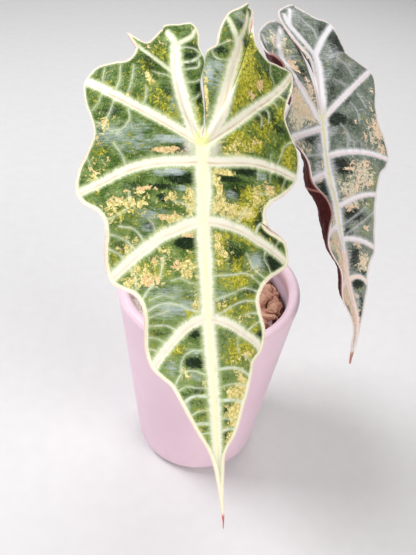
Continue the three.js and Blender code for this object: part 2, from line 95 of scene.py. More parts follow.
camera_data = bpy.data.cameras.new("photo_camera")
camera_data.sensor_fit = "VERTICAL"
camera_data.sensor_height = SENSOR_MM
camera_data.lens = FOCAL_ROWS * SENSOR_MM / PICTURE_ROWS
camera_data.clip_start = 0.01
camera = bpy.data.objects.new("photo_camera", camera_data)
axes = Matrix((view_right, view_up, -view_direction)).transposed().to_4x4()
camera.matrix_world = Matrix.Translation(CAMERA_PLACE) @ axes
bpy.context.collection.objects.link(camera)
bpy.context.scene.camera = camera
print("camera lens in mm:", round(camera_data.lens, 1))

# %% [markdown]
# ## Finishes from nodes
# Every finish is a node tree on one Principled shader. Writing each node by hand fills pages, so a
# small helper class adds a node, sets its inputs and hands back its output. Colours are written as
# they are read off a screen, 0 to 255, and turned into the linear values that shaders expect.

# %% A helper for finishes
def paint(red, green, blue):
    """A screen colour as the linear values that shaders use."""
    shares = [value / 255 for value in (red, green, blue)]
    linear = [v / 12.92 if v <= 0.04045 else ((v + 0.055) / 1.055) ** 2.4 for v in shares]
    return (*linear, 1.0)


class Finish:
    """A material, with short ways to add and join its nodes."""

    def __init__(self, name, **sockets):
        self.material = bpy.data.materials.new(name)
        self.material.use_nodes = True
        self.tree = self.material.node_tree
        self.shader = self.tree.nodes["Principled BSDF"]
        for socket, value in sockets.items():
            self.shader.inputs[socket.replace("_", " ")].default_value = value

    def node(self, kind, inputs, output=0, **settings):
        """A new node. Each input is a fixed value or the output of another node."""
        node = self.tree.nodes.new(kind)
        for name, value in settings.items():
            setattr(node, name, value)
        for key, value in inputs.items():
            if isinstance(value, bpy.types.NodeSocket):
                self.tree.links.new(value, node.inputs[key])
            else:
                node.inputs[key].default_value = value
        return node.outputs[output]

    def number(self, name):
        """A number that the mesh carries on its points."""
        return self.node("ShaderNodeAttribute", {}, 2, attribute_name=name)

    def vector(self, name):
        """A vector that the mesh carries on its points."""
        return self.node("ShaderNodeAttribute", {}, 1, attribute_name=name)

    def place_in_metres(self):
        return self.node("ShaderNodeTexCoord", {}, 3)

    def place_in_mm(self):
        return self.scaled(self.place_in_metres(), (1000, 1000, 1000))

    def part(self, vector, axis):
        """One of the three numbers of a vector."""
        return self.node("ShaderNodeSeparateXYZ", {0: vector}, axis)

    def scaled(self, vector, scale):
        return self.node("ShaderNodeMapping", {0: vector, 3: scale})

    def distance(self, vector, centre):
        return self.node("ShaderNodeVectorMath", {0: vector, 1: centre}, 1, operation="DISTANCE")

    def noise(self, vector, scale, detail=2.0, roughness=0.5, distortion=0.0):
        """Cloudy noise between 0 and 1."""
        inputs = {"Vector": vector, "Scale": scale, "Detail": detail,
                  "Roughness": roughness, "Distortion": distortion}
        return self.node("ShaderNodeTexNoise", inputs)

    def cells(self, vector, scale, feature="F1"):
        """Distances in a net of uneven cells."""
        inputs = {"Vector": vector, "Scale": scale}
        return self.node("ShaderNodeTexVoronoi", inputs, feature=feature)

    def calc(self, operation, first, second=0.0, third=0.0):
        inputs = {0: first, 1: second, 2: third}
        return self.node("ShaderNodeMath", inputs, operation=operation)

    def times(self, first, second):
        return self.calc("MULTIPLY", first, second)

    def weighted(self, value, weight, base):
        """The value times its weight, on top of the base."""
        return self.calc("MULTIPLY_ADD", value, weight, base)

    def step(self, value, low, high, bottom=0.0, top=1.0):
        """Rises smoothly from bottom to top while value goes from low to high."""
        inputs = {0: value, 1: low, 2: high, 3: bottom, 4: top}
        return self.node("ShaderNodeMapRange", inputs, interpolation_type="SMOOTHSTEP")

    def mix(self, share, first, second):
        """The first colour, covered by the second as far as the share says."""
        inputs = {0: share, 6: first, 7: second}
        return self.node("ShaderNodeMix", inputs, 2, data_type="RGBA")

    def over(self, ground, colour, value, low, high, bottom=0.0, top=1.0):
        """The ground under a colour whose share is a stepped value."""
        return self.mix(self.step(value, low, high, bottom, top), ground, colour)

    def wire(self, **sockets):
        """Joins the last outputs to the shader and hands back the material."""
        for socket, value in sockets.items():
            self.tree.links.new(value, self.shader.inputs[socket.replace("_", " ")])
        return self.material

    def complete(self, colour, shine, smooth, rough, height, depth, strength):
        """Joins a colour, a roughness from smooth to rough and a relief as deep as depth in m."""
        roughness = self.step(shine, 0.3, 0.7, smooth, rough)
        inputs = {"Height": height, "Distance": depth, "Strength": strength}
        relief = self.node("ShaderNodeBump", inputs)
        return self.wire(Base_Color=colour, Roughness=roughness, Normal=relief)


print("a soft pink, linear:", [round(v, 3) for v in paint(223, 196, 210)])

# %% [markdown]
# ## The studio
# The photograph shows the plant on a plain surface in soft light from the upper left. A plain pale
# floor and broad area lamps give the same soft shading. The window lamp alone would leave the far
# side of the pot dark, so a weaker one fills it, a long one behind the plant draws the bright edges
# on the leaves, and a low one in front lights the blades where they hang down.

# %% Floor
def smooth_faces(mesh, sharp_angle=None):
    """Smooth shading, except over edges sharper than the angle in degrees."""
    mesh.shade_smooth()
    if sharp_angle is not None:
        mesh.set_sharp_from_angle(angle=radians(sharp_angle))


def mesh_object(name, points, faces, materials, sharp_angle=None):
    """A smooth-shaded mesh object from points in mm."""
    mesh = bpy.data.meshes.new(name)
    mesh.from_pydata((np.asarray(points, float) / 1000).tolist(), [], faces)
    mesh.validate()
    for material in materials:
        mesh.materials.append(material)
    smooth_faces(mesh, sharp_angle)
    piece = bpy.data.objects.new(name, mesh)
    bpy.context.collection.objects.link(piece)
    return piece


FLOOR_HALF = 6000
floor_finish = Finish("pale_floor", Roughness=0.7, Specular_IOR_Level=0.25)
floor_grain = floor_finish.noise(floor_finish.place_in_metres(), 90, 4)
floor_tint = floor_finish.mix(floor_grain, paint(212, 211, 212), paint(220, 219, 219))
floor_finish.wire(Base_Color=floor_tint)
floor_corners = [(-FLOOR_HALF, -FLOOR_HALF, 0), (FLOOR_HALF, -FLOOR_HALF, 0),
                 (FLOOR_HALF, FLOOR_HALF, 0), (-FLOOR_HALF, FLOOR_HALF, 0)]
floor = mesh_object("studio_floor", floor_corners, [(0, 1, 2, 3)], [floor_finish.material])
print("floor in m:", [round(side) for side in floor.dimensions])

# %% Lamps
# Each lamp has its place, what it is aimed at, its two sides in metres, its watts and its tint.
LAMPS = {
    "window_lamp": ((-0.75, 0.1, 1.15), (0, 0, 0.2), (0.55, 0.55), 14, (0.98, 0.99, 1.0)),
    "fill_lamp": ((0.9, -0.75, 0.9), (0, 0, 0.15), (0.8, 0.8), 8.8, (1.0, 0.99, 0.96)),
    "back_lamp": ((0.25, 0.95, 0.85), (0, 0, 0.2), (0.9, 0.4), 5, (1.0, 1.0, 1.0)),
    "front_lamp": ((-0.35, -1.3, 0.5), (0, 0, 0.1), (0.9, 0.6), 6.4, (1.0, 0.99, 1.0)),
}
ROOM_TINT = paint(240, 238, 236)
ROOM_LIGHT = 0.25


def add_lamp(name, place, aim, size, watts, tint):
    lamp_data = bpy.data.lights.new(name, "AREA")
    lamp_data.shape = "RECTANGLE"
    lamp_data.size, lamp_data.size_y = size
    lamp_data.energy = watts
    lamp_data.color = tint
    lamp = bpy.data.objects.new(name, lamp_data)
    lamp.location = place
    lamp.rotation_euler = (Vector(aim) - Vector(place)).to_track_quat("-Z", "Y").to_euler()
    bpy.context.collection.objects.link(lamp)


for name, plan in LAMPS.items():
    add_lamp(name, *plan)
world = bpy.data.worlds.new("soft_room")
world.use_nodes = True
room = world.node_tree.nodes["Background"].inputs
room["Color"].default_value = ROOM_TINT
room["Strength"].default_value = ROOM_LIGHT
bpy.context.scene.world = world
bpy.context.scene.view_settings.view_transform = "Standard"
print("lamps:", ", ".join(LAMPS))

# %% [markdown]
# ## The drawing of a leaf
# A real blade is one thin sheet with a strong midrib. Side ribs run out from it, the margin waves
# between the ribs, and two back lobes reach past the stalk. The CAD file draws each leaf flat and
# then bends the drawing, and this script repeats the same values, so the fine leaf lies exactly on
# the coarse one. In the flat drawing s runs along the midrib in mm, negative in the back lobes, and
# out runs from the midrib to the margin.
#
# Each half lists where its ribs leave the midrib, the edge of its slit, the bend and the end of
# each rib, and the bays of margin between the rib ends. A row of the fold is s, the rise beside the
# midrib in degrees, the width in mm that stays straight, and the curl beyond it in degrees a mm.

# %% Flat drawing of the front leaf
SINUS = -7
FRONT_LEAF = {
    "junction": (-9.6, -58.2, 279.8),
    "heading": 9,
    "slope": 42,
    "droop": 26,
    "lobe_rise": 14,
    "roll": 0,
    "length": 188,
    "sweep": [(-95, 1), (0, 0), (60, 1.7), (120, 6.1), (158, 8.6), (188, 11.4)],
    "quilt": 2.2,
    "wave": 2.4,
}
FRONT_LEAF["left"] = {
    "starts": [-4.5, -2.5, 4.5, 34.5, 80],
    "fold": [(-100, 4, 0, -0.3), (190, 4, 0, -0.3)],
    "lift": -1.4,
    "sinus_edge": [(-20, -1.4), (-37, 0.2), (-47, -2), (-55.4, 0), (-64, 0.3), (-69.4, 3.7),
                   (-68.4, 9.9)],
    "ribs": [((-37, 14.5), (-66.9, 18.4)), ((-18.5, 26), (-36.9, 57.2)), ((3, 31), (18.5, 60.9)),
             ((38, 22.5), (63, 45.2)), ((85, 18), (103, 29.8))],
    "bays": [
        [(-61.6, 22.6), (-57, 26.5), (-62, 36), (-52.3, 31.2), (-46.4, 34.7), (-46.1, 42.7),
         (-44.7, 51.3)],
        [(-32, 57), (-23.6, 55.2), (-14.6, 51.9), (-7.3, 50.7), (0.4, 54.2), (9, 59.2)],
        [(24.7, 57.5), (29.5, 50), (34.7, 46.6), (41.2, 46.5), (48, 47.5), (54.7, 47.8)],
        [(66.3, 39.3), (68.7, 34.3), (72.4, 31.8), (78, 30.9), (85, 31.4), (94, 32)],
        [(108.2, 25.1), (111.6, 21.2), (117, 18.3), (124.7, 14.8), (134.6, 10.2), (143.9, 5.5),
         (153.8, 2.7), (165, 1.5), (177, 1)],
    ],
}
FRONT_LEAF["right"] = {
    "starts": [-4.5, -2.5, 4.5, 34.5, 80],
    "fold": [(-100, -16, 0, -0.35), (190, -16, 0, -0.35)],
    "lift": 1,
    "sinus_edge": [(-20, 3.1), (-37, 0.6), (-46, 1.8), (-53.6, 3.8), (-57, 7.8), (-66, 9.9),
                   (-80, 16), (-86.8, 23)],
    "ribs": [((-36, 20), (-94, 30.4)), ((-25, 33), (-60.6, 59.6)), ((1, 30), (5.7, 60.7)),
             ((34.5, 24), (53.8, 50)), ((83, 16), (97.7, 28.6))],
    "bays": [
        [(-90.8, 33.3), (-82.3, 31.2), (-73.3, 29.5), (-62.7, 31), (-58.2, 38.1), (-60, 48.5)],
        [(-52, 58.9), (-44.9, 55.4), (-33.4, 49.6), (-25.3, 48), (-19.2, 52.8), (-8.8, 61.6)],
        [(12.6, 54.6), (18.8, 45), (23.3, 36.7), (28.3, 32.4), (35, 34.5), (37.9, 40.5),
         (42, 48.6)],
        [(58.6, 42), (60.9, 35.3), (65.2, 28.9), (70.8, 26), (77.2, 27.6), (87.6, 31)],
        [(102.8, 23.2), (108.1, 20.8), (115.4, 17.7), (124, 13.9), (131.8, 11.2), (138, 8.6),
         (146, 3.8), (158, 2.5), (172, 1.2)],
    ],
}
print("front leaf: ribs a side", len(FRONT_LEAF["left"]["ribs"]))

# %% Flat drawing of the back leaf
BACK_LEAF = {
    "junction": (57.1, 28.3, 255.3),
    "heading": 18,
    "slope": 40,
    "droop": 26,
    "lobe_rise": 14,
    "roll": -22,
    "length": 147,
    "sweep": [(-84, 0), (0, 0), (25, -0.5), (50, 3.2), (85, 5.2), (107, 10), (118, 12.5),
              (130, 12.2), (147, 8.2)],
    "quilt": 1.8,
    "wave": 1.2,
}
BACK_LEAF["left"] = {
    "starts": [-4.5, -2.5, 3.5, 29.5, 60, 92],
    "fold": [(-78, -12, 0, 0.3), (-52, -6, 10, 0.4), (-40, -10, 21, 4), (-31, 5, 32, 9.5),
             (-22, 14, 36, 10), (-12, 6, 27, 5), (2, 4, 10, 1), (17, 4, 6, 1.1),
             (30, 0, 11.5, 2.5), (38, -6, 12, 4), (46, -9, 12, 6.5), (54, -6, 13, 7.6),
             (62, 3, 12, 4.7), (71, 14.5, 12, 2.8), (80, 20, 11, 3.2), (95, 17, 9.5, 6),
             (112, 15.5, 4.7, 5.8), (128, 16.5, 0.5, 4), (147, 15, 3, 2)],
    "lift": -2,
    "sinus_edge": [(-20, 0.9), (-38, 0.9), (-48, 2.5), (-58, 6), (-66.5, 9.8)],
    "ribs": [((-40, 8), (-71.5, 16.2)), ((-8, 28), (-15.5, 45)), ((6, 24), (17, 44.5)),
             ((34, 19), (43, 33.5)), ((66, 16), (77.6, 29.2)), ((96, 9), (102.4, 16.5))],
    "bays": [
        [(-63.8, 26.6), (-52.6, 33.3), (-42, 36.4), (-36, 38.3), (-30, 43.3), (-22, 46.5)],
        [(-10, 44), (-3, 43), (4, 42), (10, 43)],
        [(24, 43.7), (30, 41.2), (36, 37.2)],
        [(48, 32.9), (54, 32.9), (59.6, 31.6), (69, 31.2)],
        [(82, 26.7), (88.2, 22.8), (95, 19.9)],
        [(107.6, 13), (114.6, 9.2), (122.6, 7.6), (130, 6.2), (139, 1.4)],
    ],
}
BACK_LEAF["right"] = {
    "starts": [-4.5, -2.5, 20, 50, 69, 94],
    "fold": [(-100, 14, 0, -0.25), (147, 14, 0, -0.25)],
    "lift": 1.6,
    "sinus_edge": [(-11, 0.2), (-27, 0.2), (-42, -0.4), (-49, -5.3), (-58.9, -10),
                   (-68.6, -13.4), (-76, -13), (-79.5, -9)],
    "ribs": [((-42, 7), (-83.4, 0)), ((-20, 21), (-39.8, 46)), ((13.5, 22), (21.8, 48.2)),
             ((41.5, 20), (44.3, 31.2)), ((69, 13), (77.2, 24)), ((89, 10), (99.2, 14))],
    "bays": [
        [(-79.8, 5.8), (-74.1, 12.8), (-71.4, 19.2), (-68, 22.4), (-60.5, 25), (-49.3, 28.8),
         (-44.8, 36.6)],
        [(-35.5, 47.8), (-25.2, 46.3), (-11.2, 42.3), (-1.1, 42.1), (6.5, 45.3), (15.2, 48.2)],
        [(27.3, 43.2), (31.8, 36.4), (37.7, 33.5)],
        [(53, 26.3), (63.1, 24.4)],
        [(79.4, 22.3), (84.2, 17.7), (92, 15.3)],
        [(108.9, 8.9), (118.2, 4.4), (127, 2.3), (137.1, 1.6)],
    ],
}
print("back leaf: ribs a side", len(BACK_LEAF["left"]["ribs"]))

# %% [markdown]
# ## The veins and markings
# On the real leaf the midrib and the ribs lie in broad pale bands with feathered edges, and thin
# pale veins branch off between them. The green is flecked with yellow-green, cream and peach, more
# on one half than on the other. A painted image could carry all this, but a drawing in the leaf's
# own mm is easier to read and to change.
#
# The band of a rib has a half-width at its start and at its end, and a path of its own where the
# real one strays from the rib. Costals are the bands of the back lobes, with a half-width at every
# point. A thin vein is a thickness and a few points. A marking is a soft oval: s, out, half its
# length, half its width and a strength, with out negative on the left half. The dark markings are
# deep green tissue and also painted shade, in the valleys under raised bands and in folds. The
# painted sheen markings are blue-white patches of painted reflection.

# %% Bands and thin veins of the front leaf
FRONT_LEAF["midrib_band"] = [(-8, 4.4), (0, 5.3), (30, 4.8), (70, 4.3), (110, 3.8), (140, 3.2),
                             (165, 2), (188, 1)]
FRONT_LEAF["midrib_core"] = [(-8, 2.6), (0, 2.6), (40, 2.3), (80, 1.7), (130, 1.2), (188, 0.6)]
FRONT_LEAF["midrib_lean"] = [(-8, 0), (15, -0.1), (40, -0.9), (140, -0.9), (188, 0)]
FRONT_LEAF["left"]["rib_bands"] = {1: (3.1, 2.4), 2: (3.4, 2.1), 3: (3.8, 3.0), 4: (3.0, 2.6)}
FRONT_LEAF["left"]["band_paths"] = {
    1: [(-2.5, 0), (-10.6, 13.3), (-19, 27.3), (-28.3, 41.9), (-34.5, 51), (-38, 57.2)],
    2: [(5, 0), (5.8, 7), (6, 15.5), (6.6, 21.5), (7.5, 27), (9, 33), (11.2, 39), (13.9, 44.5),
        (16.6, 50.5), (20, 59.5)],
    3: [(34, 0), (36, 8), (38.8, 14.5), (41, 20), (45, 25.5), (49.2, 31.5), (54.2, 37.5),
        (60.2, 44.5)],
    4: [(78.3, 0), (80.1, 5), (83.5, 11.5), (88.7, 17), (95.4, 23), (104, 29.5)],
}
FRONT_LEAF["left"]["costals"] = [
    ([(-3, 0.5), (-8.5, 4.3), (-21, 8.3), (-34, 11), (-40.5, 12), (-47.5, 12.3), (-55, 12.3)],
     [3.4, 4.0, 4.4, 4.0, 3.6, 3.2, 2.6]),
    ([(-55, 12), (-59.5, 14), (-63, 16)], [1.5, 1.2, 0.8]),
    ([(-55.5, 12), (-58, 7.5), (-61, 4), (-65, 2.5)], [1.2, 0.9, 0.7, 0.4]),
    ([(-38.5, 11.5), (-41, 14.5), (-47.5, 22.5), (-53, 29.5), (-56.5, 33), (-61, 35)],
     [0.7, 0.5, 0.4, 0.35, 0.35, 0.3]),
]
FRONT_LEAF["right"]["rib_bands"] = {1: (3.4, 1.9), 2: (3.3, 2.7), 3: (3.3, 2.7), 4: (3.0, 2.5)}
FRONT_LEAF["right"]["band_paths"] = {
    1: [(-2.5, 0), (-14.6, 16.1), (-28, 31.4), (-33, 37.3), (-41.5, 45.9), (-48, 51.5),
        (-59.5, 59.6)],
    2: [(5.2, 0), (5.4, 6), (4.7, 12), (3.7, 19), (3.1, 25), (3, 32), (3.5, 39), (3.9, 45), (5, 52),
        (6.2, 60)],
    3: [(34, 0), (34.5, 7), (36, 14), (38.2, 21), (41.8, 28), (45.3, 35.5), (49.8, 43.5),
        (53.6, 49.5)],
    4: [(79, 0), (80.5, 4), (83.2, 10.5), (88, 17.5), (93, 24.5), (98.2, 28.5)],
}
FRONT_LEAF["right"]["costals"] = [
    ([(-3, 2), (-9.5, 5.5), (-16.5, 9), (-23, 11), (-38, 14.7), (-48, 17.5), (-56, 20.3), (-64, 22)],
     [3.0, 4.2, 4.8, 4.6, 4.0, 3.6, 3.2, 2.6]),
    ([(-62, 21), (-69.5, 18), (-76.5, 15.5)], [1.9, 1.4, 0.9]),
    ([(-63.5, 21.5), (-72.5, 25.5), (-81.5, 28.5), (-89.5, 30)], [1.3, 0.9, 0.7, 0.5]),
]
FRONT_LEAF["left"]["veins"] = [
    (0.35, [(-53.5, 10), (-54, 6), (-53.5, 2.5), (-52, 0.5)]),
    (0.55, [(-45.5, 9), (-46, 5), (-48, 2), (-50.5, 0)]),
    (0.4, [(-41.5, 8), (-42.5, 4), (-43.5, 1), (-46.5, 0.5)]),
    (0.25, [(-34.5, 7), (-35, 2.5), (-36, 1)]), (0.25, [(-25, 5), (-27, 2), (-29, 0.5)]),
    (0.25, [(-22, 4), (-20.5, 2)]), (0.3, [(-39.5, 23), (-39, 20), (-38.5, 16), (-37, 13.5)]),
    (0.25, [(-36.5, 48), (-41, 47.5), (-43.5, 47)]),
    (0.3, [(-31, 41.5), (-36.5, 39.5), (-43.5, 39)]), (0.3, [(-30, 35), (-37.5, 33), (-43, 32.5)]),
    (0.25, [(-22.5, 28), (-27, 26.5), (-31.5, 26.5)]),
    (0.25, [(-30, 48), (-24, 49.5), (-20, 51.5)]), (0.3, [(-26, 42), (-20.5, 43), (-15.5, 44.5)]),
    (0.3, [(-20, 35), (-15.5, 34), (-11, 36), (-8, 39.5)]),
    (0.2, [(-13.5, 50), (-11.5, 46), (-8.5, 42.5), (-9, 40)]),
    (0.3, [(7.5, 36.5), (3.5, 37.5), (0, 39.5), (-3, 41.5)]), (0.2, [(7, 53), (3, 54.5)]),
    (0.2, [(24, 35), (20.5, 35)]), (0.25, [(33, 44), (31, 40), (28.5, 36)]),
    (0.25, [(38, 23.5), (35, 24.5), (33.5, 26)]),
    (0.4, [(44, 28.5), (40, 31), (37.5, 33.5), (36.5, 39.5)]),
    (0.4, [(48, 32.5), (43.5, 36.5), (41.5, 40), (40, 45)]),
    (0.45, [(52.5, 37.5), (48.5, 42), (46.5, 46)]), (0.3, [(56.5, 42.5), (55.5, 46.5)]),
    (0.25, [(28.5, 5.5), (25.5, 11), (25, 14)]), (0.3, [(59.5, 22), (54, 21), (50.5, 20)]),
    (0.3, [(56.5, 36.5), (59, 34), (62.5, 33.5), (66.5, 34)]),
    (0.4, [(71, 31.5), (66.5, 28.5), (63.5, 25.5)]),
    (0.25, [(61.5, 17), (60.5, 13.5), (62, 9.5), (63.5, 6)]),
    (0.25, [(70.5, 27.5), (68.5, 22.5), (69, 17.5)]),
    (0.45, [(76.5, 30.5), (73, 24.5), (72, 20), (73, 14), (75, 10), (76, 5.5)]),
    (0.3, [(79, 30), (77, 23.5), (75.5, 19.5)]),
    (0.4, [(83, 30.5), (82.5, 25), (82.5, 21), (84.5, 17)]),
    (0.35, [(88, 31), (88.5, 26.5), (90, 23.5), (91.5, 22)]),
    (0.4, [(94, 31.5), (94, 28.5), (95.5, 25)]),
    (0.35, [(104, 16), (99.5, 15), (96.5, 13), (94.5, 9), (94.5, 4.5)]),
    (0.4, [(111, 19), (106.5, 16.5), (104.5, 14), (104, 9.5), (106, 4.5)]),
    (0.3, [(113.5, 17.5), (111.5, 14), (112, 9.5), (112.5, 4.5)]),
    (0.7, [(119.5, 15.5), (117.5, 13.5), (116, 10), (116.5, 4)]),
    (0.35, [(126, 13), (123.5, 9), (123, 4)]), (0.75, [(130, 11), (129.5, 7), (130, 3)]),
    (0.35, [(135, 9), (134.5, 5.5), (134.5, 3)]), (0.3, [(97, 25), (95.5, 21)]),
]
FRONT_LEAF["right"]["veins"] = [
    (0.25, [(71, 4), (69, 9.5), (67.5, 14)]),
    (0.4, [(78, 3.5), (76.5, 7), (74, 12), (72, 17), (72, 26.5)]),
    (0.4, [(78.5, 19.5), (78, 24), (79, 28)]), (0.45, [(87.5, 19), (85, 22.5), (82, 28.5)]),
    (0.25, [(89, 14), (93.5, 13.5), (96.5, 14)]), (0.3, [(99, 17.5), (101, 20), (104, 21.5)]),
    (0.7, [(104, 0.5), (103.5, 6), (104, 11), (106, 15.5), (109, 19)]),
    (0.3, [(112.5, 2), (111.5, 8.5), (112, 13), (113.5, 17)]),
    (0.85, [(119, 0.5), (119, 6.5), (120, 11), (122.5, 14.5)]), (0.3, [(127.5, 2), (129, 7.5)]),
    (0.7, [(134, 2), (133.5, 5.5), (134.5, 9.5)]),
    (0.4, [(2.5, 44), (-5, 47.5), (-10.5, 50), (-14.5, 56)]), (0.2, [(3, 39.5), (-3.5, 40)]),
    (0.3, [(11, 30.5), (5.5, 31.5)]), (0.2, [(7.5, 51), (15, 46.5)]),
    (0.2, [(11, 38.5), (6.5, 39.5)]), (0.3, [(34.5, 16), (28, 21)]),
    (0.7, [(38.5, 28), (34.5, 30), (32.5, 33), (33, 36)]),
    (0.25, [(18.5, 30), (18.5, 34.5), (21.5, 36.5)]), (0.35, [(47, 39), (41, 44.5)]),
    (0.4, [(48, 33.5), (52, 33), (55.5, 35.5), (60, 36)]),
    (0.35, [(49, 21.5), (56, 24.5), (59.5, 29), (62, 33)]),
    (0.4, [(59.5, 3), (59, 12), (58.5, 20), (61.5, 25), (65, 29.5)]),
    (0.35, [(70.5, 3), (68, 11), (65.5, 18.5), (67.5, 26)]),
    (0.35, [(-56, 5), (-50, 7), (-48.5, 10), (-50.5, 17.5)]),
    (0.35, [(-55.5, 6), (-58, 11), (-61, 15), (-62.5, 19.5)]),
    (0.3, [(-56.5, 41.5), (-49.5, 42.5), (-44, 45.5)]), (0.3, [(-41.5, 46), (-36.5, 48.5)]),
    (0.25, [(-30.5, 34.5), (-25, 37), (-20, 37)]),
    (0.25, [(-26, 30.5), (-21.5, 32.5), (-16.5, 32)]), (0.2, [(-34.5, 40), (-31, 43)]),
]
front_veins = [len(FRONT_LEAF[side]["veins"]) for side in ("left", "right")]
print("thin veins in the front leaf:", sum(front_veins))

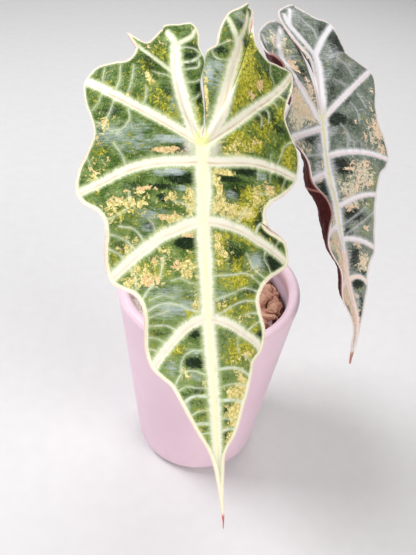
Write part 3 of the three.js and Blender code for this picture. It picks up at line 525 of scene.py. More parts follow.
# %% Markings of the front leaf
FRONT_LEAF["markings"] = {"peach": [
    (0.5, -17, 1.4, 6.6, 1.3), (5, -46, 1.9, 1.9, 0.8), (9, -52, 3.9, 2.4, 0.6),
    (19, -28, 1.2, 5.1, 1.1), (20, -36, 1, 2.8, 0.8), (24, -42, 1.4, 5.1, 0.85),
    (27, -36, 1.9, 9.3, 0.55), (32, -45, 2.8, 4.2, 0.7), (32, -19, 1.4, 3.7, 0.9),
    (31, -13, 1.4, 3.7, 0.8), (40, -9, 1.6, 4.2, 1.2), (52, -23, 1.6, 2.5, 0.95),
    (54, -15, 3.2, 2.8, 0.95), (62, -27, 2.8, 4.6, 1.2), (62, -33, 3.7, 6, 0.5),
    (-28, -35, 2.6, 1.9, 1), (-13, -46, 3.5, 2.9, 0.7), (-5, -49, 3.5, 1.9, 0.5),
    (-57, -19, 1.7, 2.4, 0.7), (-54, -25, 1.7, 2.9, 0.6), (-25, -20, 1.5, 1.9, 0.6),
    (-41, 33, 3, 2.2, 1.3), (-33, 28, 2.3, 2.1, 1.3), (-54, 49, 1.1, 1.6, 1), (-62, 15, 1.3, 1, 1),
    (-8, 29, 2.2, 5, 0.7), (15, 37, 2.6, 4.4, 1.0),
], "cream": [
    (23, -16, 2.8, 3.3, 1.1), (23, -8, 1.4, 2.4, 0.9), (-36, -25, 3.2, 1.9, 1),
    (98, 19, 1.7, 2.9, 1.2), (114, 14, 8, 3, 1.2), (126, 10, 7.5, 3.6, 1.35), (140, 6, 6, 2.6, 1.3),
    (10, 10, 2, 6, 1.15), (20, 8, 4.4, 2.7, 0.95), (28, 13, 3.9, 6.7, 0.9),
    (26, -39, 4.2, 10.2, 0.65), (12, -51, 5.8, 4.3, 0.6), (44, -34, 4.6, 4.6, 0.5),
    (61, -35, 4.6, 7.4, 0.65), (53, -8, 8.4, 2.3, 0.6), (32, -44, 4.2, 5.6, 0.5),
    (-12, -46, 5, 4.3, 0.5), (49, 9, 5.2, 4.3, 0.7), (38, -17, 2.3, 6, 0.6),
    (105, -14, 2.9, 2.3, 0.7), (-27, 2, 10.7, 1.2, 1.1), (-4, 18, 3.1, 8.2, 0.6),
    (80, 18, 3.4, 5.1, 0.6), (54, -24, 5.5, 6.5, 0.45), (103, 14, 6.9, 5.6, 0.45),
    (26, -18, 2.8, 10.2, 0.4), (29, -7, 3, 2.6, 1), (27, 7, 3.6, 3.2, 1.1), (10, 10, 1.6, 5.5, 1.4),
    (29, 16, 3.4, 7, 0.9), (21, 28, 7, 5, 0.8), (17, 38, 2.2, 3.5, 1.0), (56, 24, 4, 5, 0.6),
    (58, -30, 4, 8, 0.7), (47, -37, 4, 5, 0.7), (13.5, 6, 3, 2.6, 1.4), (47, -20, 2.5, 5, 0.5),
    (56, -9, 5, 5, 0.8), (44, 6, 4, 2.6, 0.9), (29, 20, 3, 8, 1.0), (50, 6, 5, 2.6, 0.7),
    (25, -30, 6, 4, 0.8), (25, -6, 6, 2.5, 1.0), (1, 18, 2.5, 8, 0.9), (33, -15, 1.8, 4.5, 1.1),
    (72, -6, 5, 2, 0.8), (73, 6, 2.8, 3, 0.9), (116, 9, 3.2, 3.2, 1.1), (126, 7, 7, 2.4, 1.2),
    (111, -5, 5, 1.5, 0.7),
], "lime": [
    (-50, -20, 7.4, 4.8, 0.45), (-41, -26, 7.2, 3.3, 0.4), (-29, -25, 6.3, 3.8, 0.4),
    (-23, -19, 6.2, 4.3, 0.55), (-16, -16, 3.5, 3.8, 0.6), (-37, -35, 5.4, 6.2, 0.15),
    (-35, -46, 7.1, 6.8, 0.2), (-26, -52, 5.8, 2.9, 0.2), (-47, -30, 4, 4, 0.2),
    (40, 26, 5, 6, 0.9), (14, 46, 4, 6, 0.6), (96, 19, 5, 5, 0.7), (-16, -2, 6.6, 1.4, 0.8),
    (-44, 24, 16.6, 7.5, 0.95), (-42, 38, 8, 6, 0.6), (-28, 18, 5.6, 4.7, 0.7),
    (-68, 29, 10.5, 2, 0.8), (-17, 34, 7.4, 8.7, 0.6), (-26, 44, 5.4, 5.1, 0.55),
    (-7, 20, 5.3, 9, 0.7), (-2, 14, 3.1, 4.5, 0.6), (-7, 30, 3, 4.5, 0.9), (-35, 49, 5.1, 3, 0.5),
    (-5, 53, 7.7, 4.7, 0.8), (20, 26, 3.5, 6.8, 1.15), (29, 23, 6, 5.4, 1),
    (24, 32, 4.6, 3.2, 0.45), (56, 14, 2.9, 3.3, 0.8), (62, 15, 3.9, 5.6, 0.9),
    (40, 13, 2.4, 7.8, 0.5), (42, 37, 3.6, 6, 0.45), (77, 8, 4.8, 4.8, 0.65),
    (74, 16, 4.4, 7.4, 0.5), (70, 22, 2.4, 4.7, 0.6), (96, 12, 6.3, 5, 0.7),
    (94, -17, 2.8, 4.2, 0.65), (77, -9, 1.6, 2.3, 1), (52, 6, 9.5, 2.6, 0.6),
    (31, -39, 4.2, 6.5, 0.4), (51, -43, 4.6, 4.2, 0.5), (51, -35, 4.6, 5.5, 0.4),
    (123, -8, 5, 4.3, 0.4), (133, -7, 4.1, 2.9, 0.35), (57, -27, 6.5, 9.2, 0.35),
    (17, -9, 3.8, 3.3, 0.3), (114, 10, 6, 2.7, 0.4), (0, -48, 2.9, 3.3, 0.4),
    (87, -27, 4.7, 4.2, 0.3), (52, -7, 9.3, 2.3, 0.3), (-18, 18, 3.2, 4.7, 0.6),
    (-37, 39, 3.7, 4.2, 0.4), (27, 19, 4, 4.6, 0.8), (43, 7, 4.8, 3.2, 0.8),
    (53, 15, 2.9, 4.5, 0.6), (86, 24, 3, 3.6, 0.7),
], "dark": [
    # Dark: deep green tissue, and painted shade in the valleys under raised bands and in folds.
    (-19, -43, 3.1, 4.8, 0.4), (-19, 32, 3.4, 2.6, 0.9), (-18, 44, 2.3, 5.8, 0.5),
    (23, -19, 1.9, 2.3, 0.9), (36, -26, 1.9, 2.3, 0.6), (14, -10, 2.2, 5.5, 1.3),
    (18, -20, 1.6, 6, 0.6), (17, -32, 2, 4.6, 0.35), (44, -9, 2.2, 4.2, 1.3),
    (22, -31, 1.4, 6.5, 0.35), (13, 11, 1.4, 6.6, 1.2), (8, 23, 2, 6.6, 0.8),
    (19, 17, 4.5, 7.5, 0.5), (50, 14, 6.7, 5.6, 0.45), (38, 35, 2.6, 4.6, 1.1),
    (31, 30, 4.1, 3.1, 0.8), (44, 39, 4.1, 5.4, 0.6), (53, 39, 4.6, 6.1, 0.8),
    (-54, 9, 2.1, 5.7, 0.6), (-75, 23, 2.8, 3.2, 0.5), (-51, 38, 7.9, 9.4, 0.3),
    (-23, 36, 5.2, 8.2, 0.45), (-39, 50, 5.9, 3.1, 0.5), (-54, -5, 2.3, 4.5, 0.5),
    (-49, -5, 1.7, 4.4, 0.5), (-44, -5, 1.7, 3.9, 0.5), (-29, -1, 5.8, 1.5, 0.8),
    (-27, -16, 4.7, 3.8, 0.35), (0.5, -10, 1.5, 5, 1.2), (86, -8, 2.4, 3.3, 0.7),
    (100, -9, 2.4, 4.7, 0.8), (113, -9, 1.7, 3.8, 0.5), (86, -24, 1.9, 5.6, 0.3),
    (89, 7, 2.4, 4.8, 0.25), (93, 5, 1.4, 2.1, 0.2), (90, 26, 2.5, 3, 0.9), (108, 7, 2.4, 2.7, 0.2),
    (119, -9, 1.5, 4.3, 0.3), (125, -8, 1, 3.3, 0.3), (132, -6, 1, 2.9, 0.2),
    (123, 6, 1.5, 2.7, 0.7), (137, 5, 2.6, 1.6, 0.8), (129, 6, 1.5, 2.1, 0.7),
    (86, 12, 1.9, 3.8, 0.4), (67, 22, 2, 4.7, 0.5), (72, 7, 1.9, 2.6, 0.5), (9, 48, 4.4, 6, 0.4),
    (-89, 32, 5.6, 1, 1.2), (-76, 29, 6.5, 1, 1.2), (-65, 25, 3.3, 1, 1.2), (73, 15, 1.4, 5.6, 0.4),
    (47, -40, 3.7, 3.2, 0.35), (-14, 5, 2.6, 1.6, 0.4), (-30, -8, 14, 3.5, 0.3),
    (-12, -8, 6, 2.5, 0.4), (-44, -25, 6, 5, 0.4),
], "bloom": [
    # Painted sheen: blue-white patches of reflected light, painted into the colour.
    (-7, -42, 5, 11.4, 0.75), (-10, -32, 4, 8.4, 0.6), (-3, -32, 5, 12, 0.6),
    (-4.5, -15, 1.7, 8, 1.3), (-23, -14, 6.7, 1.9, 0.6), (-40, 4, 7.3, 2.7, 1.1),
    (-44, 8, 3.4, 5, 0.9), (-35, 9, 6.7, 5, 0.7), (-80, 24, 3.6, 4.5, 0.9), (11, -19, 1.5, 5, 1.0),
    (19, -9, 1.4, 4.2, 0.9), (31, -26, 2.3, 5.1, 0.8), (37, -27, 2.8, 3.7, 0.6),
    (30, -19, 1.4, 3.7, 0.5), (53, 27, 4.5, 4.3, 1.1), (57, 6, 2.4, 3.2, 0.5),
    (9, 33, 2.6, 3.2, 0.8), (77, -21, 1.9, 6, 0.8), (102, -20, 4.3, 2.8, 0.7),
    (95, -9, 1.4, 4.7, 0.8), (107, -9, 1.7, 4.3, 0.7), (74, -16, 3.7, 12, 0.95),
    (67, -18, 3.5, 12, 0.6), (10.5, -14, 1.5, 4, 1.6), (68, 6, 2.4, 3.2, 0.6),
    (121, -14, 3.9, 1.4, 0.8), (133, -9, 3, 1.4, 0.6), (18, -33, 1, 2.8, 0.3),
    (70, -33, 3.7, 2.3, 0.5), (21, 13, 2.4, 2.8, 0.7), (53, -28, 1.4, 1.8, 0.3),
    (91, 21, 3, 3.5, 0.4), (57, -8, 2.8, 2.3, 0.5),
]}
print("front leaf markings:", sum(len(spots) for spots in FRONT_LEAF["markings"].values()))

# %% Bands and thin veins of the back leaf
BACK_LEAF["midrib_band"] = [(-8, 3.4), (0, 3.8), (30, 3.8), (66, 3.5), (90, 3), (120, 2.3), (147, 1)]
BACK_LEAF["midrib_core"] = [(-8, 1.3), (0, 1.3), (60, 0.9), (147, 0.4)]
BACK_LEAF["midrib_lean"] = [(-8, 0), (5, -0.3), (20, -1.3), (90, -1.3), (147, 0)]
BACK_LEAF["left"]["rib_bands"] = {2: (2.2, 2.2), 3: (2.0, 1.6), 4: (1.8, 1.2), 5: (1.6, 1.1)}
BACK_LEAF["left"]["band_paths"] = {2: [(3, 0), (4, 5), (6, 11), (9, 20.5), (12, 29.5), (16, 40)]}
BACK_LEAF["left"]["costals"] = [
    ([(-31.5, 20), (-22, 23), (-17, 16), (-10, 8), (-1, 2)], [1.8, 2.0, 2.2, 2.4, 2.6]),
    ([(-65, 12.5), (-52, 18), (-36, 16)], [1.1, 1.5, 2.0]),
]
BACK_LEAF["right"]["rib_bands"] = {1: (2.1, 1.7), 2: (2.0, 1.6), 3: (1.6, 1.4), 4: (1.7, 1.5),
                                   5: (1.4, 1.0)}
BACK_LEAF["right"]["band_paths"] = {}
BACK_LEAF["right"]["costals"] = [
    ([(0, 1.5), (-10.5, 2), (-23.5, 3), (-35.5, 4.5), (-46, 4)], [3.2, 3.6, 3.4, 3.0, 2.6]),
    ([(-45, 4), (-51, 0), (-58.5, -5), (-66.5, -9), (-73, -9.5)], [2.2, 2.0, 1.8, 1.5, 1.2]),
    ([(-66, -8.5), (-72, -6.5), (-78.5, -4.5)], [1.2, 1.0, 0.8]),
    ([(-45, 4.5), (-52, 9), (-59, 14), (-69.5, 23)], [1.9, 1.8, 1.7, 1.5]),
]
BACK_LEAF["left"]["veins"] = [
    (0.3, [(-65.5, 11), (-56.5, 14.5), (-51, 19)]), (0.6, [(-58, 28), (-45, 28.5), (-44.5, 20.5)]),
    (0.3, [(24, 33), (20.5, 14.5), (19.5, 3.5)]), (0.3, [(73, 7.5), (79, 3), (85.5, 4)]),
    (0.4, [(28.5, 7), (31.5, 4), (37.5, 1.5)]), (0.3, [(29.5, 30), (30, 17), (28.5, 5)]),
]
BACK_LEAF["right"]["veins"] = [
    (0.3, [(-21.5, 30), (-15.5, 33), (-12, 34)]), (0.3, [(60.5, 1.5), (55.5, 11), (51.5, 18.5)]),
    (0.3, [(66, 3.5), (61.5, 12), (54.5, 24.5)]), (0.25, [(11, 20.5), (15.5, 20.5)]),
    (0.25, [(12.5, 15.5), (16.5, 15.5)]), (0.25, [(12, 26.5), (16.5, 26)]),
    (0.25, [(4, 15), (10, 18)]), (0.25, [(-44, 19), (-40.5, 25.5), (-33.5, 29.5)]),
    (0.25, [(-29, 13), (-27, 22)]), (0.25, [(-43, 12.5), (-47, 19), (-49.5, 28.5)]),
    (0.25, [(-72.5, 3), (-65, 8), (-57.5, 9)]), (0.3, [(101, 1.5), (105.5, 4), (113, 1.5)]),
    (0.25, [(-14.5, 23), (-8.5, 26), (-0.5, 26)]), (0.25, [(0.5, 12), (6.5, 15.5), (15, 15.5)]),
]
back_veins = [len(BACK_LEAF[side]["veins"]) for side in ("left", "right")]
print("thin veins in the back leaf:", sum(back_veins))

# %% Markings of the back leaf
BACK_LEAF["markings"] = {"peach": [
    (-37, -12, 6.5, 4.2, 1.2), (-13, -18, 5.9, 7.2, 0.8), (-8, -11, 5, 6.3, 0.7),
    (-18, -21, 4.4, 3.7, 0.7), (-54, -21, 4.3, 4.1, 0.6), (19, -24, 1.9, 11.6, 0.7),
    (15, -26, 3.4, 12, 0.6), (25, -21, 2.7, 10.5, 0.5), (-34, 22, 2.2, 1.6, 0.4),
    (-25, 42, 3, 1.8, 0.8), (-12, 38, 4.3, 1.7, 0.8), (0, 34, 3.4, 3.3, 0.7),
    (8, 29, 3.9, 2.4, 0.8), (2, 41, 8.3, 5.3, 1.1), (16, 43, 4.6, 3.5, 1), (6, 13, 1.6, 2.2, 0.7),
    (-1, 23, 1.6, 1.9, 0.8), (5, 22, 1.3, 2.3, 0.4), (25, 17, 2.4, 4.5, 0.8), (30, 20, 3.1, 3, 0.8),
    (37, 17, 4.2, 2.2, 1), (27, 27, 2.5, 3.1, 0.6), (45, 8, 2.1, 4.3, 0.9), (51, 10, 1.8, 3.6, 1),
    (40, 7, 3, 2.1, 0.5), (64, 18, 2.4, 3.8, 0.8), (70, 12, 1.5, 4.4, 0.6), (76, 4, 2.4, 2.1, 0.6),
    (96, -5, 6.3, 3.7, 1.1), (82, -6, 6.8, 5, 0.8), (109, -4, 5.9, 4.8, 1),
    (122, -2, 7.8, 6.2, 0.9), (104, 4, 1.6, 2.8, 0.9), (38, 17, 5.4, 6.7, 0.4),
    (38, 24, 5.5, 4.6, 0.35), (-45, -2, 6.7, 1.9, 0.7), (-21, -7, 10.7, 4.4, 0.9),
    (80, 13, 3.6, 2.9, 0.5), (61, -1, 2.9, 3.4, 0.6), (49, -2, 2.9, 2.2, 0.3),
    (0, -20, 2.7, 6, 0.3), (-5, -17, 5, 12, 0.75), (-2, -8, 3.5, 6, 0.9), (-11, -21, 5, 5, 0.8),
    (62, -4, 6, 4, 1.1), (74, -6, 8, 5, 1.5), (88, -6, 8, 5, 1.5), (102, -5, 8, 5, 1.6),
    (114, -3, 8, 4, 1.8), (70, -6, 5, 3.6, 1.2), (33, -9, 2.5, 3.1, 0.9), (25, -5, 2.4, 2.6, 0.8),
    (25, 26, 2.6, 4.7, 1), (37, 25, 3.1, 3.9, 1), (28, 14, 2.4, 4.4, 0.9), (51, 7, 2.4, 3.5, 0.9),
    (73, 10, 2.4, 2.9, 0.9), (84, 12, 4.9, 2.9, 0.9), (100, -5, 3, 3.7, 1.1),
    (107, -2, 3.5, 3.6, 1.1),
], "cream": [
    (-53, -18, 8.4, 6.6, 0.85), (-37, -41, 5.1, 5.4, 0.4), (-9, -16, 9, 11, 1.3),
    (-2, -27, 8, 9, 1.4), (78, -6, 14, 6, 1.6), (-4, -8, 3.8, 5.4, 0.6), (17, -26, 5.3, 10.9, 0.45),
    (7, 37, 10.8, 6.9, 0.6), (40, 12, 8.4, 8.8, 0.8), (32, 22, 7.4, 7.8, 0.8),
    (48, 9, 4.7, 6.5, 0.8), (61, -6, 8.2, 4.2, 0.7), (72, -13, 5.6, 9.6, 0.8),
    (93, -4, 10.4, 6.3, 0.9), (84, 11, 7.3, 5.8, 0.9), (-50, -10, 3.7, 3.8, 0.3),
    (61, 12, 3.6, 5.9, 0.3),
], "lime": [
    (-77, -1, 4.3, 3.7, 0.2), (-52, -22, 3.4, 3.4, 0.8), (-49, -17, 3.6, 4.8, 0.5),
    (-47, -13, 2, 2.9, 0.6), (-39, -5, 4, 2.9, 0.5), (-45, 27, 4.7, 4.1, 0.2),
    (-3, 30, 4, 4.1, 0.35), (-17, 21, 1.4, 2.3, 0.3), (34, 8, 4.2, 4.3, 0.4),
    (34, 30, 7.5, 3.2, 0.6), (16, 31, 2.6, 4.9, 0.3), (50, 23, 6.1, 3.1, 0.6),
    (50, 16, 3.6, 4.5, 0.35), (66, 17, 4.8, 4.5, 0.4), (90, -4, 5.8, 5.3, 0.4),
    (85, 14, 7.3, 3, 0.5), (100, 7, 2.5, 2.8, 0.4), (-39, -7, 3.4, 2.2, 0.3),
    (-54, 53, 7.3, 3, 0.3), (-60, -8, 6.6, 2.3, 0.5),
], "dark": [
    # Dark: deep green tissue, and painted shade in the valleys under raised bands and in folds.
    (-56, 22, 6.6, 5.7, 0.9), (-64, 15, 5.9, 4.7, 0.5), (-3, 10, 3.2, 5.1, 1.2), (26, 9, 4.2, 5, 1),
    (38, -8, 4, 3, 0.8), (55, 9, 3.6, 5, 0.8), (65, 2, 2.9, 4.8, 0.7), (81, 7, 5.4, 4.3, 0.8),
    (97, 6, 2.5, 3.5, 0.9), (90, 11, 2.4, 2.9, 0.6), (3, -29, 2.4, 3, 0.9), (11, -14, 3.1, 9, 0.6),
    (-22, -21, 7.6, 5.3, 0.3), (-32, -9, 7.3, 4.4, 0.7), (-42, 0, 5.8, 2.2, 0.6),
    (-22, 10, 8.2, 4.4, 0.35), (-16, 20, 5.5, 7.8, 0.3), (0, 20, 3.9, 6.1, 0.35),
    (-28, -1, 7.4, 2.7, 0.4), (24, -22, 2.2, 9.9, 0.4), (34, 9, 4.8, 2.8, 0.4),
    (57, 11, 2.4, 6.6, 0.4), (107, 6, 5.1, 2.1, 0.4), (117, 3, 7.7, 1.6, 0.5),
    (-34, 18, 5.8, 3.8, 0.3), (-71, 30, 4.6, 4.4, 0.2),
], "bloom": [
    # Painted sheen: blue-white patches of reflected light, painted into the colour.
    (-43, -46, 2.1, 7.1, 0.9), (-65, -20, 3.4, 4.5, 0.6), (-46, -20, 4.4, 5.9, 0.4),
    (-44, -12, 5, 4.3, 0.6), (-76, -1, 5.2, 6, 0.7), (-68, 1, 4.9, 6, 0.4), (-45, 16, 7.7, 7, 0.6),
    (-30, 8, 7, 4.4, 0.45), (-41, 31, 4.7, 6.8, 0.4), (5, 5, 3.1, 4.2, 0.6), (26, 2, 7.2, 3, 0.8),
    (16, -6, 5.5, 4.6, 0.9), (28, -9, 5.8, 3.3, 0.8), (37, -4, 4.7, 2.3, 0.5), (55, 0, 7, 2.2, 0.7),
    (80, 1, 7.1, 3.1, 0.6), (6, -17, 2.5, 10.8, 0.6), (11, 19, 2.5, 6.9, 0.4),
    (-10, 30, 4.8, 5.7, 0.3), (26, -19, 2.7, 12.2, 0.4), (19, 13, 2.5, 2.9, 0.3),
    (-19, 34, 3.6, 4.2, 0.3), (-81, 4, 3.6, 6, 0.6),
]}
print("back leaf markings:", sum(len(spots) for spots in BACK_LEAF["markings"].values()))

# %% [markdown]
# ## From the flat drawing to the hanging leaf
# The leaf is bent in two ways. Its midrib is an arc in its own upright plane, which droops more and
# more towards the tip. Across the midrib each half rises at an angle, runs straight for a while and
# then curls. Both are plain trigonometry on whole arrays of points, which is fast. A cloth
# simulation would also droop a sheet, but it would not land on the CAD shape.

# %% The bent sheet
# The mm of a back lobe over which it rises, and the least curl in radians a mm, because the formula
# of an arc can't take a straight line.
LOBE_ARC = 70
LEAST_CURL = 1e-7


def smooth_rows(rows, s):
    """Values at s of a smooth curve through rows of (s, value, ...)."""
    table = np.array(rows, float)
    stations, values = table[:, 0], table[:, 1:]
    slopes = np.zeros_like(values)
    if len(table) == 2:
        slopes[:] = (values[1] - values[0]) / (stations[1] - stations[0])
    else:
        slopes[1:-1] = (values[2:] - values[:-2]) / (stations[2:] - stations[:-2])[:, None]
    i = np.clip(np.searchsorted(stations, s, side="right") - 1, 0, len(table) - 2)
    span = (stations[i + 1] - stations[i])[:, None]
    f = np.clip((s - stations[i]) / span[:, 0], 0, 1)[:, None]
    ends = (2 * f**3 - 3 * f**2 + 1) * values[i] + (3 * f**2 - 2 * f**3) * values[i + 1]
    return ends + (f**3 - 2 * f**2 + f) * span * slopes[i] + (f**3 - f**2) * span * slopes[i + 1]


def midrib_frame(leaf, s):
    """Points on the midrib, with the directions across the blade and out of its face."""
    heading, start, roll = (radians(leaf[key]) for key in ("heading", "slope", "roll"))
    ahead = np.array([sin(heading), -cos(heading), 0])
    side = np.array([cos(heading), sin(heading), 0])
    up = np.array([0, 0, 1.0])
    bend = np.where(s >= 0, radians(leaf["droop"]) / leaf["length"],
                    radians(leaf["lobe_rise"]) / LOBE_ARC)[:, None]
    angle = start + bend * s[:, None]
    forward = (np.sin(angle) - sin(start)) / bend
    down = (cos(start) - np.cos(angle)) / bend
    face = ahead * np.sin(angle) + up * np.cos(angle)
    across = side * cos(roll) + face * sin(roll)
    normal = face * cos(roll) - side * sin(roll)
    sweep = smooth_rows(leaf["sweep"], s)
    point = np.array(leaf["junction"]) + ahead * forward - up * down + across * sweep
    return point, across, normal


def bent(leaf, half, sign, s, out, height):
    """Places in space of flat points, at a height above the sheet."""
    point, across, normal = midrib_frame(leaf, s)
    rise, straight, curl = smooth_rows(half["fold"], s).T
    turn = np.radians(curl)
    turn = np.where(np.abs(turn) < LEAST_CURL, LEAST_CURL, turn)
    start = np.radians(rise)
    flat = np.minimum(out, straight)
    angle = start + turn * np.maximum(out - straight, 0)
    x = flat * np.cos(start) + (np.sin(angle) - np.sin(start)) / turn
    y = flat * np.sin(start) + (np.cos(start) - np.cos(angle)) / turn
    sideways = sign * (x - height * np.sin(angle))
    return point + across * sideways[:, None] + normal * (y + height * np.cos(angle))[:, None]


for leaf in (FRONT_LEAF, BACK_LEAF):
    tip = midrib_frame(leaf, np.array([float(leaf["length"])]))[0][0]
    print("leaf tip in mm:", [round(v) for v in tip])

# %% [markdown]
# The margin is one smooth curve through the drawn points. It is a Catmull-Rom curve, which passes
# through every point it is given, so the lobes and bays stay where they were measured.

# %% The margin curve
def margin_points(leaf, half):
    """The drawn points of the margin, and which of them are rib ends."""
    points = [(SINUS, 0), *half["sinus_edge"]]
    marks = []
    for (_, end), bay in zip(half["ribs"], half["bays"]):
        marks.append(len(points))
        points.append(end)
        points.extend(bay)
    points.append((leaf["length"], 0))
    marks.append(len(points) - 1)
    return np.array(points, float), marks


def on_curve(points, place):
    """Points of the smooth curve at places that count in drawn points from its start."""
    padded = np.vstack([2 * points[0] - points[1], points, 2 * points[-1] - points[-2]])
    i = np.clip(np.floor(place).astype(int), 0, len(points) - 2)
    f = (place - i)[:, None]
    p0, p1, p2, p3 = (padded[i + k] for k in range(4))
    t0, t1, t2 = (np.sqrt(np.linalg.norm(b - a, axis=1))[:, None]
                  for a, b in ((p0, p1), (p1, p2), (p2, p3)))
    m1 = ((p1 - p0) / t0 - (p2 - p0) / (t0 + t1) + (p2 - p1) / t1) * t1
    m2 = ((p2 - p1) / t1 - (p3 - p1) / (t1 + t2) + (p3 - p2) / t2) * t1
    return p1 + m1 * f + (3 * (p2 - p1) - 2 * m1 - m2) * f**2 + (2 * (p1 - p2) + m1 + m2) * f**3


def even_places(points, first, last, pitch):
    """Places between two marks whose points lie about pitch mm apart."""
    dense = np.linspace(first, last, 400)
    steps = np.linalg.norm(np.diff(on_curve(points, dense), axis=0), axis=1)
    run = np.concatenate([[0], np.cumsum(steps)])
    count = max(4, round(run[-1] / pitch))
    return np.interp(np.linspace(0, run[-1], count + 1), run, dense)


drawn, _ = margin_points(FRONT_LEAF, FRONT_LEAF["left"])
edge = on_curve(drawn, np.linspace(0, len(drawn) - 1, 3000))
margin_length = np.linalg.norm(np.diff(edge, axis=0), axis=1).sum()
print("margin of the front leaf's left half in mm:", round(margin_length))

# %% [markdown]
# Between midrib and margin the sheet is a net of rows. Each row is a curve from the midrib to the
# margin, bent like the ribs on either side of it, so the net follows the leaf's own growth and the
# ribs fall exactly on rows. Columns stand close together beside the midrib, where the thick rib
# rounds off, and then evenly out to the margin.

# %% Rows and columns of one half
# All lengths are in mm. The near columns are shares of the midrib's foot, which is as wide as the
# rib and rounds off into the blade.
BLADE = 0.8
MIDRIB = 2.8
MIDRIB_TIP = 0.4
SIDE_RIB = 1.1
RIB_FOOT = 2.8
NEAR_COLUMNS = np.array([0, 0.15, 0.3, 0.46, 0.64, 0.82])
ROW_PITCH = 1.15
FAR_COLUMNS = 46
LOBE_ROWS = 26


def rib_bend(start, rib):
    """Where a rib's bend lies, along and beside the straight line to its end."""
    bend, end = rib
    chord = np.array(end, float) - (start, 0)
    reach = np.array(bend, float) - (start, 0)
    squared = chord @ chord
    beside = (reach[1] * chord[0] - reach[0] * chord[1]) / squared
    return np.array([reach @ chord / squared, beside])


def row_list(leaf, half):
    """For each row its place on the margin, its rib, the share of the way to the next and start."""
    points, marks = margin_points(leaf, half)
    starts = [*half["starts"], leaf["length"]]
    rows = []
    for rib in range(len(marks) - 1):
        places = even_places(points, marks[rib], marks[rib + 1], ROW_PITCH)
        shares = (places - marks[rib]) / (marks[rib + 1] - marks[rib])
        last = rib == len(marks) - 2
        for place, share in zip(places[: None if last else -1], shares):
            start = starts[rib] + (starts[rib + 1] - starts[rib]) * share
            rows.append((place, rib, share, round(start, 4)))
    return points, marks, rows


def row_points(half, points, rows):
    """The flat points of all rows: s, out, the share w of the way to the margin, and the foot."""
    place, rib, share, start = (np.array(column) for column in zip(*rows))
    bends = np.array([rib_bend(a, b) for a, b in zip(half["starts"], half["ribs"])] + [(0.5, 0)])
    bend = bends[rib] + (bends[rib + 1] - bends[rib]) * share[:, None]
    end = on_curve(points, place)
    chord = end - np.stack([start, 0 * start], 1)
    length = np.linalg.norm(chord, axis=1)
    control_s = start + bend[:, 0] * chord[:, 0] - bend[:, 1] * chord[:, 1]
    control_out = bend[:, 0] * chord[:, 1] + bend[:, 1] * chord[:, 0]
    foot = np.minimum(RIB_FOOT, length * 0.25) / np.maximum(length, 1e-6)
    far = np.linspace(0, 1, FAR_COLUMNS + 1)
    near_w = foot[:, None] * NEAR_COLUMNS
    far_w = foot[:, None] + (1 - foot[:, None]) * far
    w = np.hstack([near_w, far_w])
    s = (1 - w) ** 2 * start[:, None] + 2 * w * (1 - w) * control_s[:, None] + w**2 * end[:, :1]
    out = 2 * w * (1 - w) * control_out[:, None] + w**2 * end[:, 1:]
    return s, out, w, foot


print("columns from midrib to margin:", len(NEAR_COLUMNS) + FAR_COLUMNS)

# %% [markdown]
# The tissue swells between the ribs and the margin waves, as the CAD solids do in coarser steps.
# On top of that come the small forms: shallow channels over the ribs, a crease over every thin
# vein, and a slight puckering of the green between them. They are real geometry, so they catch the
# light from every side.

# %% Distances from lines
def near_line(points, line):
    """For each flat point its distance from a line, the length along it and the side it is on."""
    line = np.asarray(line, float)
    best = np.full(len(points), 1e9)
    along = np.zeros(len(points))
    side = np.ones(len(points))
    run = 0.0
    for a, b in zip(line[:-1], line[1:]):
        chord = b - a
        length = np.hypot(*chord)
        if length < 1e-6:
            continue
        rel = points - a
        f = np.clip(rel @ chord / length**2, 0, 1)
        off = rel - f[:, None] * chord
        distance = np.hypot(off[:, 0], off[:, 1])
        closer = distance < best
        best[closer] = distance[closer]
        along[closer] = run + f[closer] * length
        side[closer] = np.sign(chord[0] * rel[closer, 1] - chord[1] * rel[closer, 0])
        run += length
    return best, along, np.where(side == 0, 1, side)


def rib_line(start, rib, steps=24):
    """The curve of a rib from the midrib to its end, in short straight pieces."""
    bend, end = (np.array(p, float) for p in rib)
    w = np.linspace(0, 1, steps + 1)[:, None]
    return (1 - w) ** 2 * np.array([start, 0.0]) + 2 * w * (1 - w) * bend + w**2 * end


def smooth_line(points, steps=5):
    """A smooth curve through drawn points, as a chain of short straight pieces."""
    points = np.array(points, float)
    return on_curve(points, np.linspace(0, len(points) - 1, steps * (len(points) - 1) + 1))


def band_lines(leaf, half, sign):
    """Every banded vein of a half: its line and its half-widths. The midrib comes first."""
    stations = np.linspace(SINUS, leaf["length"], 60)
    widths = smooth_rows(leaf["midrib_band"], stations)[:, 0]
    lean = sign * smooth_rows(leaf["midrib_lean"], stations)[:, 0]
    lines = [(np.stack([stations, lean], 1), widths)]
    for rib, (wide, narrow) in half["rib_bands"].items():
        if rib in half["band_paths"]:
            line = smooth_line(half["band_paths"][rib])
        else:
            line = rib_line(half["starts"][rib], half["ribs"][rib])
        lines.append((line, wide + (narrow - wide) * np.linspace(0, 1, len(line))))
    for points, widths in half["costals"]:
        line = smooth_line(points)
        places = np.linspace(0, len(points) - 1, len(line))
        lines.append((line, np.interp(places, np.arange(len(points)), widths)))
    return lines


gap, along, _ = near_line(np.array([[5.0, 3.0]]), [(0, 0), (10, 0)])
print("distance from a line and length along it:", float(gap[0]), float(along[0]))

# %% [markdown]
# Every point now learns how far it is from the nearest band, thin vein and margin, and how strongly
# each marking covers it. These numbers travel with the mesh, and the finish reads them. The fringe
# is the distance from the feathered edge of a band. Feather space runs along the band and away from
# it, so that noise in it makes short hairs that stand off the rib. Its third number tells the bands
# apart: 0 is the midrib, 40 to 200 are the ribs and a broad costal, and the finer ones are above.

